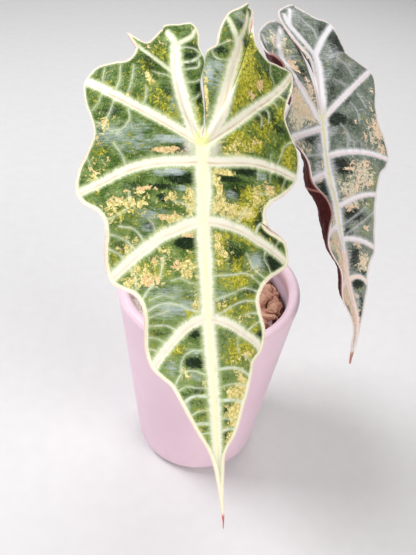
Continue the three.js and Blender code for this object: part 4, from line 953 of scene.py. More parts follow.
# %% What each point of a half carries
FAR_AWAY = 9.0  # what a distance starts with, before any line is nearer
BAND_STEP = 40.0  # from one band's number to the next
FRINGE_LEAN = 0.12  # how much farther a rib's fringe reaches on the side of the base
OVAL_FALL = 0.7  # how fast the strength of a marking falls off from its middle
OVERLAP = 3  # how far past the midrib, in mm, a marking of the other half may start


def half_marks(leaf, half, sign, s, out, margin):
    """Per point: the nearest band, thin vein and margin, and the markings."""
    flat = np.stack([s, out], 1)
    count = len(s)
    reach = np.full(count, FAR_AWAY)
    fringe = np.full(count, FAR_AWAY)
    band_side = np.full(count, FAR_AWAY)
    feather = np.zeros((count, 3))
    rib_gap = np.full(count, 99.0)
    for number, (line, widths) in enumerate(band_lines(leaf, half, sign)):
        gap, along, side = near_line(flat, line)
        steps = np.linalg.norm(np.diff(line, axis=0), axis=1)
        stations = np.concatenate([[0], np.cumsum(steps)])
        half_width = np.interp(along, stations, widths)
        leaning = gap * (1 - FRINGE_LEAN * side * (number > 0))
        fringe = np.minimum(fringe, (leaning - 0.5 * half_width) / (1.0 + 0.3 * half_width))
        here = gap / half_width
        closer = here < reach
        reach[closer] = here[closer]
        band_side[closer] = (gap * side)[closer]
        feather[closer] = np.stack([along, gap, np.full(count, BAND_STEP * number)], 1)[closer]
        if number > 0:
            rib_gap = np.minimum(rib_gap, gap)
    along_midrib = np.clip(s, SINUS, leaf["length"])
    cores = smooth_rows(leaf["midrib_core"], along_midrib)[:, 0]
    lean = sign * smooth_rows(leaf["midrib_lean"], along_midrib)[:, 0]
    core = np.hypot(out - lean, np.maximum(SINUS - s, 0)) / cores
    vein_gap = np.full(count, FAR_AWAY)
    vein_side = np.full(count, FAR_AWAY)
    vein_thick = np.full(count, 0.3)
    for thick, points in half["veins"]:
        gap, _, side = near_line(flat, smooth_line(points))
        closer = gap < vein_gap
        vein_gap[closer] = gap[closer]
        vein_side[closer] = (gap * side / thick)[closer]
        vein_thick[closer] = thick
    values = {"reach": reach, "fringe": fringe, "band_side": band_side,
              "core": np.minimum(core, FAR_AWAY),
              "vein_gap": vein_gap, "vein_side": vein_side, "vein_thick": vein_thick,
              "margin_gap": np.minimum(near_line(flat, margin)[0], 20)}
    for kind, spots in leaf["markings"].items():
        weight = np.zeros(count)
        for spot_s, spot_out, long, wide, strength in spots:
            if spot_out * sign < -OVERLAP:
                continue
            oval = ((s - spot_s) / long) ** 2 + ((out * sign - spot_out) / wide) ** 2
            weight = np.maximum(weight, strength * np.exp(-OVAL_FALL * oval))
        values[kind] = weight
    return values, feather, rib_gap


print("markings:", ", ".join(FRONT_LEAF["markings"]))

# %% [markdown]
# The fine sheet of a half is then one pass over its net: flat points, height above the sheet,
# thickness and markings. The small back lobe beside the slit has no rows of its own, so it is
# filled by drawing each column of the first row across to the slit.

# %% One half of the sheet
# Heights and widths of the small forms in mm. A back lobe is lifted from this s on, over this run.
BAND_SWELL = 0.3
CHANNEL = 0.35
RIB_WIDTH = 1.1
CREASE = 0.65
CREASE_WIDTH = 1.4
PUCKER = 0.4
LIFT_FROM = -15
LIFT_RUN = 30


def pucker(s, out):
    """A slight unevenness of living tissue, between -1 and 1, the same each time."""
    coarse = np.sin(0.52 * s + 1.3 * np.sin(0.31 * out)) * np.sin(0.61 * out + 0.8)
    fine = np.sin(1.23 * s - 0.9 * out + 0.7) * np.sin(0.83 * s + 1.17 * out)
    return 0.6 * coarse + 0.4 * fine


def half_sheet(leaf, half):
    """The net of one half, where its rows start on the midrib, and its margin."""
    points, marks, rows = row_list(leaf, half)
    s, out, w, foot = row_points(half, points, rows)
    _, rib, share, start = (np.array(column) for column in zip(*rows))
    tail = np.where(rib == len(marks) - 2, 1 - share, 1)[:, None]
    share = share[:, None]
    swell = leaf["quilt"] * np.sin(pi * share) ** 2 * np.sin(pi * w**0.8)
    height = tail * (swell - leaf["wave"] * np.cos(2 * pi * share) * w**3)
    ridge = 0.5 + 0.5 * np.cos(pi * np.clip(w / np.maximum(foot[:, None], 1e-6), 0, 1))
    t = (np.arange(1, LOBE_ROWS + 1) / LOBE_ROWS)[:, None]
    w0 = w[0][None, :]
    edge = on_curve(points, marks[0] * w[0] ** 0.62)
    lobe_s = s[0] + (edge[:, 0] - s[0]) * t
    lobe_out = out[0] + (edge[:, 1] - out[0]) * t
    lobe_height = 0.6 * leaf["quilt"] * np.sin(pi * t) * np.sin(pi * w0)
    lobe_height = lobe_height - leaf["wave"] * w0**3 * (1 - t) ** 2
    grid = {
        "s": np.vstack([s, lobe_s]),
        "out": np.vstack([out, lobe_out]),
        "w": np.vstack([w, np.repeat(w0, LOBE_ROWS, 0)]),
        "height": np.vstack([height, lobe_height]),
        "ridge": np.vstack([ridge, ridge[0] * (1 - t)]),
        "tail": np.vstack([np.repeat(tail, s.shape[1], 1), np.ones_like(lobe_s)]),
    }
    margin = on_curve(points, np.linspace(0, len(points) - 1, 420))
    return grid, start, margin


def finished_half(leaf, half, sign, grid, margin):
    """Flat arrays of one half with the small forms added to height and depth."""
    shape = grid["s"].shape
    flat = {key: value.ravel() for key, value in grid.items()}
    s, out = flat["s"], flat["out"]
    values, feather, rib_gap = half_marks(leaf, half, sign, s, out, margin)
    rise = np.clip((LIFT_FROM - s) / LIFT_RUN, 0, 1)
    flat["height"] = flat["height"] + half["lift"] * rise**2 * (3 - 2 * rise)
    inner = np.clip(values["margin_gap"] / 3, 0, 1) * flat["tail"]
    band_ridge = np.exp(-(np.clip(values["reach"], 0, 4) / 0.8) ** 2)
    rib_ridge = np.exp(-(rib_gap / RIB_WIDTH) ** 2)
    forms = BAND_SWELL * band_ridge - CHANNEL * rib_ridge
    forms = forms - CREASE * np.exp(-(values["vein_gap"] / CREASE_WIDTH) ** 2)
    forms = forms + PUCKER * pucker(s, out * sign) * np.clip(values["reach"] - 0.8, 0, 1)
    flat["height"] = flat["height"] + inner * forms
    rib_height = MIDRIB + (MIDRIB_TIP - MIDRIB) * s / leaf["length"]
    side_rib = SIDE_RIB * (1 - flat["w"]) * rib_ridge * inner
    flat["depth"] = BLADE + flat["ridge"] * rib_height + side_rib * (1 - flat["ridge"])
    flat["feather"] = feather
    flat.update(values)
    return {key: value.reshape(*shape, *value.shape[1:]) for key, value in flat.items()}


grid, _, _ = half_sheet(FRONT_LEAF, FRONT_LEAF["left"])
print("front leaf, left half: rows and columns", grid["s"].shape)

# %% [markdown]
# Both halves share the vertices on the midrib. Their rows start at different places, so the strip
# beside the midrib is closed with small fans of triangles, as one zips two unequal edges together.
# The underside is the same net pushed down by the thickness, and a narrow wall joins the two along
# the margin.

# %% The closed blade
ATTRIBUTES = ["reach", "fringe", "band_side", "core", "vein_gap", "vein_side", "vein_thick",
              "margin_gap", "peach", "cream", "lime", "dark", "bloom"]


def half_faces(sign, net, starts, stops, stop_index):
    """Faces of one half. net holds the vertex number of each row and column."""
    faces = []

    def face(*corners):
        """Adds a face, unless its corners fall together."""
        ring = [c for i, c in enumerate(corners) if c != corners[i - 1]]
        if len(ring) > 2:
            faces.append(tuple(ring) if sign > 0 else tuple(ring[::-1]))

    count = len(starts)
    for r in range(count - 1):
        inside = stops[(stops >= starts[r]) & (stops <= starts[r + 1])]
        zipped = [stop_index[stop] for stop in inside]
        for a, b in zip(zipped[:-1], zipped[1:]):
            face(a, b, net[r][1])
        face(zipped[-1], net[r + 1][1], net[r][1])
        for c in range(1, len(net[r]) - 1):
            face(net[r][c], net[r + 1][c], net[r + 1][c + 1], net[r][c + 1])
    lobe = [net[0], *net[count:]]
    for i in range(len(lobe) - 1):
        for c in range(len(net[0]) - 1):
            face(lobe[i][c], lobe[i][c + 1], lobe[i + 1][c + 1], lobe[i + 1][c])
    return faces


def write_attribute(mesh, name, values):
    """Numbers or vectors for the points of a mesh, which its finish can read."""
    values = np.asarray(values, np.float32)
    flat = values.ndim == 1
    attribute = mesh.attributes.new(name, "FLOAT" if flat else "FLOAT_VECTOR", "POINT")
    attribute.data.foreach_set("value" if flat else "vector", values.ravel())


def gather(leaf):
    """All vertices of the sheet as flat arrays, and its faces."""
    sides = []
    for half, sign in ((leaf["left"], -1), (leaf["right"], 1)):
        grid, starts, margin = half_sheet(leaf, half)
        sides.append((sign, finished_half(leaf, half, sign, grid, margin), starts))
    stops = np.unique(np.concatenate([starts for _, _, starts in sides]))
    keys = ["s", "out", "height", "depth", "feather", *ATTRIBUTES]
    columns = {key: [] for key in keys}
    _, first, starts = sides[0]
    order = np.argsort(starts)
    for key in keys:
        along = first[key][:len(starts), 0][order]
        if along.ndim == 1:
            line = np.interp(stops, starts[order], along)
        else:
            line = np.stack([np.interp(stops, starts[order], column) for column in along.T], 1)
        columns[key] += [line, first[key][len(starts):, 0]]
    signs = [-1.0] * (len(stops) + LOBE_ROWS)
    stop_index = {stop: i for i, stop in enumerate(stops)}
    used = len(signs)
    faces = []
    for sign, grid, starts in sides:
        net = []
        height, width = grid["s"].shape
        for r in range(height):
            in_lobe = r >= len(starts)
            on_midrib = len(stops) + r - len(starts) if in_lobe else stop_index[starts[r]]
            pinched = not in_lobe and starts[r] >= leaf["length"] - 1e-6
            numbers = [on_midrib]
            for c in range(1, width):
                if pinched:
                    numbers.append(on_midrib)
                elif in_lobe and c == width - 1:
                    numbers.append(net[0][-1])
                else:
                    numbers.append(used + r * width + c)
            net.append(numbers)
        for key in keys:
            columns[key].append(grid[key].reshape(height * width, *grid[key].shape[2:]))
        signs += [float(sign)] * (height * width)
        used += height * width
        faces += half_faces(sign, net, starts, stops, stop_index)
    sheet = {key: np.concatenate(parts) for key, parts in columns.items()}
    sheet["sign"] = np.array(signs)
    return sheet, faces


def keep_used(sheet, faces):
    """Drops the vertices that no face uses."""
    used = np.unique(np.concatenate([np.array(face) for face in faces]))
    renumber = np.full(len(sheet["s"]), -1)
    renumber[used] = np.arange(len(used))
    return ({key: value[used] for key, value in sheet.items()},
            [tuple(int(renumber[v]) for v in face) for face in faces])


def open_edges(faces):
    """Edges with a face on one side only, in that face's direction."""
    seen = {edge for face in faces for edge in zip(face, face[1:] + face[:1])}
    return [(a, b) for a, b in seen if (b, a) not in seen]


def make_blade(name, leaf, materials):
    """The blade as one closed body: upper face, underside and the wall along the margin."""
    sheet, faces = keep_used(*gather(leaf))
    count = len(sheet["s"])
    top = np.zeros((count, 3))
    bottom = np.zeros((count, 3))
    for half, sign in ((leaf["left"], -1), (leaf["right"], 1)):
        mine = sheet["sign"] == sign
        s, out, height = sheet["s"][mine], sheet["out"][mine], sheet["height"][mine]
        top[mine] = bent(leaf, half, sign, s, out, height)
        bottom[mine] = bent(leaf, half, sign, s, out, height - sheet["depth"][mine])
    under = [tuple(v + count for v in face[::-1]) for face in faces]
    walls = [(a, a + count, b + count, b) for a, b in open_edges(faces)]
    blade = mesh_object(name, np.vstack([top, bottom]), faces + under + walls, materials, 55)
    mesh = blade.data
    if len(mesh.polygons) == len(faces) + len(under) + len(walls):
        slots = np.concatenate([np.zeros(len(faces)), np.ones(len(under)), np.zeros(len(walls))])
        mesh.polygons.foreach_set("material_index", slots.astype(np.int32))
    for key in ATTRIBUTES:
        write_attribute(mesh, key, np.tile(sheet[key], 2))
    signed = np.stack([sheet["s"], sheet["out"] * sheet["sign"], np.zeros(count)], 1)
    write_attribute(mesh, "leaf_place", np.tile(signed, (2, 1)))
    write_attribute(mesh, "feather_place", np.tile(sheet["feather"], (2, 1)))
    mesh.update()
    triangles = sum(len(p.vertices) - 2 for p in mesh.polygons)
    print(name, "triangles:", triangles, "wall edges:", len(walls))
    return blade

# %% [markdown]
# ## The finish of a blade
# The upper face of this leaf is glossy. Blue-white patches of reflected light are painted into its
# colour as a painted sheen, and the dark markings hold painted shade as well as deep green. Its
# colour is built up in the order in which the real one could be painted: green, flecks, larger
# patches, thin veins, broad bands, the yellow core of the midrib and last the pale margin. Every
# layer is a mask from the drawing, roughened with noise in the leaf's own mm so that no edge is
# clean.
#
# The two leaves share this finish and differ in their colours and settings. The settings say from
# which s on the tip is pale or dried and the bands are flushed, how broad the margin is low on the
# leaf, how much narrower it is at the slit, and how strong the haze, fan and thin veins are.

# %% Upper face
# Each layer with its screen colour on the front leaf and on the back leaf.
LAYERS = {
    # deep is the dark green of the tissue, and also the colour of painted shade under raised bands
    # and in folds.
    "deep": ((14, 38, 4), (34, 44, 34)), "green": ((58, 90, 16), (88, 102, 86)),
    "soft": ((128, 150, 84), (146, 154, 144)), "olive": ((112, 118, 20), (104, 112, 84)),
    "lime": ((190, 184, 50), (146, 156, 104)), "moss": ((150, 152, 44), (150, 156, 126)),
    "lime_pale": ((246, 236, 132), (206, 206, 160)), "cream": ((252, 234, 166), (236, 224, 198)),
    "cream_low": ((200, 184, 100), (204, 194, 168)), "peach": ((246, 222, 168), (240, 216, 186)),
    # The painted sheen colour is a painted reflection: blue-white patches of reflected light.
    "rose": ((216, 178, 120), (228, 196, 166)), "bloom": ((186, 200, 198), (214, 214, 222)),
    "vein": ((222, 230, 206), (222, 220, 222)), "band": ((243, 239, 220), (240, 234, 238)),
    # flank and side_core are partly the ribs' own pink and tan, partly painted shade on the shaded
    # side of the groove along each rib.
    "halo": ((206, 218, 168), (196, 198, 200)), "flank": ((252, 238, 222), (232, 206, 208)),
    "core": ((255, 254, 206), (232, 230, 180)), "side_core": ((208, 184, 144), (232, 208, 210)),
    "margin": ((250, 244, 214), (236, 228, 226)), "rim": ((240, 214, 206), (230, 210, 208)),
    "tip": ((206, 202, 188), (232, 208, 196)), "flush": ((255, 249, 230), (244, 218, 206)),
    "dried": ((200, 96, 92), (176, 120, 104)), "glow": ((236, 246, 140), (232, 232, 196)),
}
# Places in mm of s, widths in mm and strengths, again for the front leaf and the back leaf.
SETTINGS = {
    "tip_from": (140.0, 122.0), "dried_from": (178.0, 138.0), "margin_low": (2.1, 1.3),
    "slit_narrows": (1.0, 0.0), "haze": (0.14, 0.16), "fan": (0.8, 0.0), "vein_show": (1.0, 0.6),
    "flush_from": (400.0, 72.0),
}
FAN_CENTRE = (-2.0, 0.0, 0.0)
JOINT_CENTRE = (-6.0, 0.0, 0.0)
FRONT, BACK = 0, 1


def leaf_table(column):
    """The colours and settings of one leaf."""
    colours = {name: paint(*pair[column]) for name, pair in LAYERS.items()}
    return colours | {name: pair[column] for name, pair in SETTINGS.items()}


def green_tissue(finish, place, colours):
    """The green ground: cloudy tone, fine streaks across it, dark markings partly of painted shade
    and the painted sheen.
    """
    cloud = finish.noise(place, 0.16, 4, 0.62)
    streak = finish.noise(finish.scaled(place, (1.7, 0.35, 1)), 1.0, 4, 0.65)
    mottle = finish.weighted(streak, 0.8, cloud)
    haze = finish.step(finish.part(place, 0), 25, 85, 0.0, colours["haze"])
    mottle = finish.calc("ADD", mottle, haze)
    ground = finish.over(colours["green"], colours["soft"], mottle, 0.78, 1.14)
    # Dark markings deepen the green: deep green tissue, and painted shade under raised bands and in
    # folds.
    dark = finish.number("dark")
    shade = finish.weighted(dark, 0.8, finish.noise(place, 0.7, 3, 0.6))
    shade = finish.weighted(streak, 0.5, shade)
    ground = finish.over(ground, colours["deep"], shade, 0.82, 1.15)
    net = finish.cells(place, 0.55, "DISTANCE_TO_EDGE")
    net_line = finish.times(finish.step(net, 0.02, 0.09, 0.25, 0.0),
                            finish.step(dark, 0.05, 0.4, 1.0, 0.1))
    ground = finish.mix(net_line, ground, colours["soft"])
    # Painted sheen: streaky blue-white patches of reflected light painted into the colour.
    wisp = finish.noise(finish.scaled(place, (0.9, 0.22, 1)), 1.0, 4, 0.6)
    bloom = finish.weighted(finish.number("bloom"), 0.55, wisp)
    return finish.over(ground, colours["bloom"], bloom, 0.56, 1.14, 0.0, 0.85), net


def flecked(finish, place, ground, colours):
    """Flecks and patches in yellow-green, cream and peach."""
    dark, lime, cream = (finish.number(kind) for kind in ("dark", "lime", "cream"))
    ground = finish.over(ground, colours["olive"], lime, 0.15, 0.9, 0.0, 0.7)
    patch = finish.weighted(lime, 0.24, finish.noise(place, 0.2, 6, 0.7, 0.8))
    patch = finish.weighted(dark, -0.2, patch)
    ground = finish.over(ground, colours["moss"], patch, 0.58, 0.66, 0.0, 0.75)
    ground = finish.over(ground, colours["soft"], cream, 0.3, 1.1, 0.0, 0.4)
    tint = finish.noise(place, 0.7, 4, 0.7)
    low_lime = finish.over(colours["olive"], colours["lime"], tint, 0.38, 0.54)
    high_lime = finish.over(low_lime, colours["lime_pale"], tint, 0.55, 0.68)
    fine = finish.weighted(dark, -0.12, finish.noise(place, 0.42, 6, 0.74, 0.6))
    ground = finish.over(ground, high_lime, finish.weighted(lime, 0.27, fine), 0.58, 0.66)
    cream_tint = finish.over(colours["cream_low"], colours["cream"], tint, 0.4, 0.6)
    grains = finish.weighted(dark, -0.12, finish.noise(place, 0.36, 6, 0.74, 0.8))
    ground = finish.over(ground, cream_tint, finish.weighted(cream, 0.27, grains), 0.62, 0.68)
    peach_tint = finish.over(colours["rose"], colours["peach"], tint, 0.42, 0.6)
    blot = finish.noise(place, 0.42, 5, 0.68, 0.6)
    peach = finish.weighted(finish.number("peach"), 0.3, blot)
    return finish.over(ground, peach_tint, peach, 0.68, 0.72)


def thin_veined(finish, place, ground, colours):
    """Thin veins, each in a faint halo."""
    gap = finish.number("vein_gap")
    ground = finish.over(ground, colours["halo"], gap, 0.2, 1.8, 0.34, 0.0)
    side = finish.calc("ABSOLUTE", finish.number("vein_side"))
    thin = finish.times(finish.step(side, 0.4, 1.7, 1.0, 0.0), finish.step(gap, 0.7, 1.3, 1.0, 0.0))
    show = colours["vein_show"]
    thick = finish.step(finish.number("vein_thick"), 0.15, 0.7, 0.5 * show, show)
    uneven = finish.step(finish.noise(place, 0.25, 2), 0.3, 0.6, 0.45, 1.0)
    thin = finish.times(finish.times(thin, thick), uneven)
    return finish.mix(thin, ground, colours["vein"])


def banded(finish, place, ground, colours):
    """The fan at the joint, feathered bands with a tinted flank and a line along each rib, partly
    painted groove shade, and the midrib's core.
    """
    fan = finish.weighted(finish.noise(place, 0.35, 3), 5.0, finish.distance(place, FAN_CENTRE))
    ground = finish.over(ground, colours["band"], fan, 8.0, 14.0, colours["fan"], 0.0)
    feather = finish.vector("feather_place")
    tufts = finish.noise(finish.scaled(feather, (0.5, 0.15, 1)), 1.0, 2, 0.5)
    hairs = finish.noise(finish.scaled(feather, (2.4, 0.25, 1)), 1.0, 3, 0.7)
    fray = finish.weighted(hairs, 1.8, tufts)
    fringe = finish.weighted(fray, 0.75, finish.number("fringe"))
    ground = finish.over(ground, colours["halo"], fringe, 1.3, 2.6, 0.8, 0.0)
    # Bands above 200 are fainter and have no line. The line is clearest on the first two ribs.
    number = finish.part(feather, 2)
    covering = finish.times(finish.step(fringe, 1.05, 1.75, 1.0, 0.0),
                            finish.step(number, 210, 230, 1.0, 0.75))
    ground = finish.mix(covering, ground, colours["band"])
    lined = finish.times(finish.step(number, 10, 20), finish.step(number, 210, 230, 1.0, 0.0))
    reach = finish.number("reach")
    lined = finish.times(lined, finish.step(reach, 0.45, 0.75, 1.0, 0.0))
    # On one side of each rib, a pink flank and a tan line: partly the rib's own tint, partly painted
    # shade in the groove.
    off_line = finish.number("band_side")
    flank = finish.times(finish.step(off_line, -0.5, -0.2, 0.6, 0.0),
                         finish.step(off_line, -1.6, -0.8))
    ground = finish.mix(finish.times(flank, lined), ground, colours["flank"])
    off_core = finish.calc("ABSOLUTE", finish.calc("ADD", off_line, 0.5))
    line = finish.step(off_core, 0.2, 0.9, 0.75, 0.0)
    faint = finish.step(finish.noise(feather, 0.12, 2), 0.35, 0.6, 0.45, 1.0)
    faint = finish.times(faint, finish.step(number, 90, 110, 1.0, 0.5))
    line = finish.times(finish.times(line, faint), lined)
    ground = finish.mix(line, ground, colours["side_core"])
    ground = finish.over(ground, colours["core"], finish.number("core"), 0.3, 1.4, 0.9, 0.0)
    low_from = colours["flush_from"]
    flush = finish.step(finish.weighted(fray, 0.3, reach), 1.12, 1.6, 0.85, 0.0)
    flush = finish.times(flush, finish.step(finish.part(place, 0), low_from, low_from + 8))
    ground = finish.mix(flush, ground, colours["flush"])
    from_joint = finish.distance(place, JOINT_CENTRE)
    return finish.over(ground, colours["glow"], from_joint, 1.0, 6.0, 0.75, 0.0)


def edged(finish, place, ground, colours):
    """The pale tip, the margin with its rim, narrower beside the slit, and the dried point."""
    s = finish.part(place, 0)
    tip_from, dried_from = colours["tip_from"], colours["dried_from"]
    ground = finish.over(ground, colours["tip"], s, tip_from, tip_from + 18, 0, 0.85)
    slit = finish.step(finish.calc("ABSOLUTE", finish.part(place, 1)), 2.5, 5.0, 1.2, 0.0)
    slit = finish.times(slit, finish.step(s, -58, -46))
    slit = finish.times(slit, finish.step(s, -14, -9, 1.0, 0.0))
    gap = finish.weighted(slit, colours["slit_narrows"], finish.number("margin_gap"))
    wander = finish.weighted(finish.noise(place, 0.5, 2), 0.5, gap)
    widen = finish.step(s, -15, 30, 0.0, colours["margin_low"] - 1.1)
    wander = finish.calc("SUBTRACT", wander, widen)
    ground = finish.over(ground, colours["halo"], wander, 1.2, 2.3, 0.45, 0.0)
    ground = finish.over(ground, colours["margin"], wander, 0.95, 1.4, 1.0, 0.0)
    ground = finish.over(ground, colours["rim"], gap, 0.3, 0.7, 0.8, 0.0)
    return finish.over(ground, colours["dried"], s, dried_from, dried_from + 3, 0, 0.95)


def upper_finish(name, colours):
    finish = Finish(name, Coat_Weight=0.1, Coat_Roughness=0.1, Specular_IOR_Level=0.16)
    place = finish.vector("leaf_place")
    colour, net = green_tissue(finish, place, colours)
    for layer in (flecked, thin_veined, banded, edged):
        colour = layer(finish, place, colour, colours)
    shine = finish.noise(place, 0.3, 3)
    grain = finish.noise(place, 1.6, 3, 0.6)
    relief = finish.weighted(finish.step(net, 0.0, 0.2), 0.6, grain)
    relief = finish.times(relief, finish.step(finish.number("fringe"), 0.0, 1.4, 0.2, 1.0))
    return finish.complete(colour, shine, 0.18, 0.34, relief, 0.0005, 0.6)


front_upper = upper_finish("front_leaf_upper", leaf_table(FRONT))
back_upper = upper_finish("back_leaf_upper", leaf_table(BACK))
print("nodes in the front leaf's finish:", len(front_upper.node_tree.nodes))

# %% [markdown]
# The underside is a dull burgundy that shows wherever the blade rolls over. Its ribs stand out and
# are paler, and the small veins draw a net in it, so it takes its masks from the same drawing.

# %% Underside
def under_finish(name):
    finish = Finish(name, Coat_Weight=0.05, Coat_Roughness=0.3, Specular_IOR_Level=0.12)
    place = finish.vector("leaf_place")
    cloud = finish.noise(place, 0.22, 4, 0.6)
    ground = finish.over(paint(42, 7, 9), paint(80, 18, 23), cloud, 0.35, 0.65)
    net = finish.cells(place, 0.7, "DISTANCE_TO_EDGE")
    ground = finish.over(ground, paint(106, 42, 44), net, 0.02, 0.1, 0.4, 0.0)
    mottle = finish.noise(place, 1.3, 3, 0.7)
    ground = finish.over(ground, paint(28, 6, 10), mottle, 0.5, 0.64, 0.0, 0.6)
    reach = finish.weighted(finish.noise(place, 0.8, 2), 0.5, finish.number("reach"))
    ground = finish.over(ground, paint(176, 118, 112), reach, 0.55, 0.95, 0.75, 0.0)
    margin_gap = finish.number("margin_gap")
    ground = finish.over(ground, paint(206, 160, 150), margin_gap, 0.5, 1.3, 0.7, 0)
    return finish.complete(ground, mottle, 0.42, 0.58, finish.step(net, 0.0, 0.2), 0.0003, 0.5)


underside = under_finish("leaf_underside")
print("underside nodes:", len(underside.node_tree.nodes))

# %% The two blades
front_blade = make_blade("front_blade", FRONT_LEAF, [front_upper, underside])
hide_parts("front_leaf_blade")
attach(front_blade, "root")

back_blade = make_blade("back_blade", BACK_LEAF, [back_upper, underside])
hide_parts("back_leaf_blade")
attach(back_blade, "root")
print("blades in mm:", in_mm(front_blade.dimensions), in_mm(back_blade.dimensions))

# %% [markdown]
# ## The leaf stalks
# A stalk rises out of the crown with a broad clasping foot, narrows to a round stem and turns over
# at the top to meet the blade squarely. A curve with a bevel would give an even tube, so the rings
# are set one by one along the same Bezier path, which lets the foot be wide and grooved and the top
# swell a little where it joins the midrib.

# %% Stalks
CROWN_TOP = 147.3
STALKS = {
    "front": {"leaf": FRONT_LEAF, "base": (-1, -4.4), "radius": 3.1, "top": 2.3, "rise": 62},
    "back": {"leaf": BACK_LEAF, "base": (1.2, 4.4), "radius": 2.9, "top": 2.1, "rise": 55},
}
FOOT_WIDTH = 7.2
FOOT_DEPTH = 3.9
CLASP_SHARE = 0.3  # of the stalk, over which the clasping foot narrows to the round stem
PLACE_LENGTH = 160  # the length of a stalk in its finish
PLACE_SHIFT = 300  # moves the back stalk in the noise, so that the two differ


def stalk_finish():
    finish = Finish("stalk_skin", Coat_Weight=0.15, Coat_Roughness=0.25, Specular_IOR_Level=0.45)
    place = finish.vector("stalk_place")
    flow = finish.noise(finish.scaled(place, (0.9, 0.9, 0.12)), 1.0, 3, 0.6)
    ground = finish.over(paint(164, 172, 116), paint(206, 204, 160), flow, 0.35, 0.65)
    blush = finish.noise(place, 0.09, 3, 0.5)
    ground = finish.over(ground, paint(206, 150, 142), blush, 0.45, 0.7, 0, 0.6)
    streak = finish.noise(finish.scaled(place, (1.4, 1.4, 0.3)), 1.0, 4, 0.7)
    ground = finish.over(ground, paint(126, 84, 74), streak, 0.6, 0.68, 0, 0.6)
    return finish.complete(ground, flow, 0.34, 0.46, flow, 0.0003, 0.6)


def ring_faces(rings):
    """Faces between neighbouring rings of vertices. A ring may be one vertex repeated."""
    faces = []
    for low, high in zip(rings[:-1], rings[1:]):
        for k in range(len(low)):
            n = (k + 1) % len(low)
            ring = [low[k], low[n], high[n], high[k]]
            ring = [v for i, v in enumerate(ring) if v != ring[i - 1]]
            if len(ring) > 2:
                faces.append(tuple(ring))
    return faces


def make_stalk(name, plan, steps=64, sides=28):
    """A stalk of oval rings along a curve from the crown to the joint of its blade."""
    shift = PLACE_SHIFT * (name == "back_stalk")
    point, across, normal = (v[0] for v in midrib_frame(plan["leaf"], np.array([0.0])))
    top = point - normal * (BLADE + MIDRIB - 0.3)
    foot = np.array([*plan["base"], CROWN_TOP - 0.2])
    path = [foot, foot + (0, 0, plan["rise"]), top - normal * plan["rise"] * 0.6, top]
    points = []
    places = []
    for t in np.linspace(0, 1, steps + 1):
        weights = ((1 - t) ** 3, 3 * t * (1 - t) ** 2, 3 * t * t * (1 - t), t**3)
        centre = sum(weight * p for weight, p in zip(weights, path))
        ahead = 3 * ((1 - t) ** 2 * (path[1] - path[0]) + 2 * t * (1 - t) * (path[2] - path[1])
                     + t * t * (path[3] - path[2]))
        ahead = ahead / np.linalg.norm(ahead)
        wide = across - ahead * (across @ ahead)
        wide = wide / np.linalg.norm(wide)
        deep = np.cross(ahead, wide)
        share = min(t / CLASP_SHARE, 1)
        clasp = 1 - share * share * (3 - 2 * share)
        swell = 0.35 * max(0, (t - 0.94) / 0.06)
        bare = plan["radius"] + (plan["top"] - plan["radius"]) * t + swell
        a = bare + (FOOT_WIDTH - bare) * clasp
        b = bare + (FOOT_DEPTH - bare) * clasp
        for angle in np.linspace(0, 2 * pi, sides, endpoint=False):
            groove = 1 - 0.16 * (1 - 0.6 * t) * np.exp(-((angle - 1.5 * pi) / 0.4) ** 2)
            ribbing = 1 + 0.012 * sin(9 * angle + 3 * t)
            point = centre + (wide * a * cos(angle) + deep * b * sin(angle)) * groove * ribbing
            points.append(point)
            places.append((a * cos(angle), b * sin(angle), PLACE_LENGTH * t + shift))
    rings = [list(range(i * sides, (i + 1) * sides)) for i in range(steps + 1)]
    faces = [*ring_faces(rings), tuple(rings[0][::-1]), tuple(rings[-1])]
    stalk = mesh_object(name, points, faces, [stalk_skin], 60)
    write_attribute(stalk.data, "stalk_place", places)
    print(name, "top in mm:", [round(float(v)) for v in top])
    return stalk


stalk_skin = stalk_finish()
for key, plan in STALKS.items():
    stalk = make_stalk(f"{key}_stalk", plan)
    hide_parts(f"{key}_leaf_stalk")
    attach(stalk, "root")

# %% [markdown]
# ## The crown
# The crown is the short stem at soil level. Old leaves leave ring-shaped scars and dry papery
# sheaths that wrap round it. A turned body with raised rings is the stem, and each sheath is a thin
# curved scale with a ragged upper edge, thickened so that it has two real faces.

# %% Crown
def revolve(profile, sides):
    """Points and faces of a body turned about the upright axis; profile ends may lie on it."""
    points = []
    rings = []
    for radius, height in profile:
        if radius < 1e-6:
            rings.append([len(points)] * sides)
            points.append((0, 0, height))
            continue
        rings.append(list(range(len(points), len(points) + sides)))
        for k in range(sides):
            angle = 2 * pi * k / sides
            points.append((radius * cos(angle), radius * sin(angle), height))
    return points, ring_faces(rings)


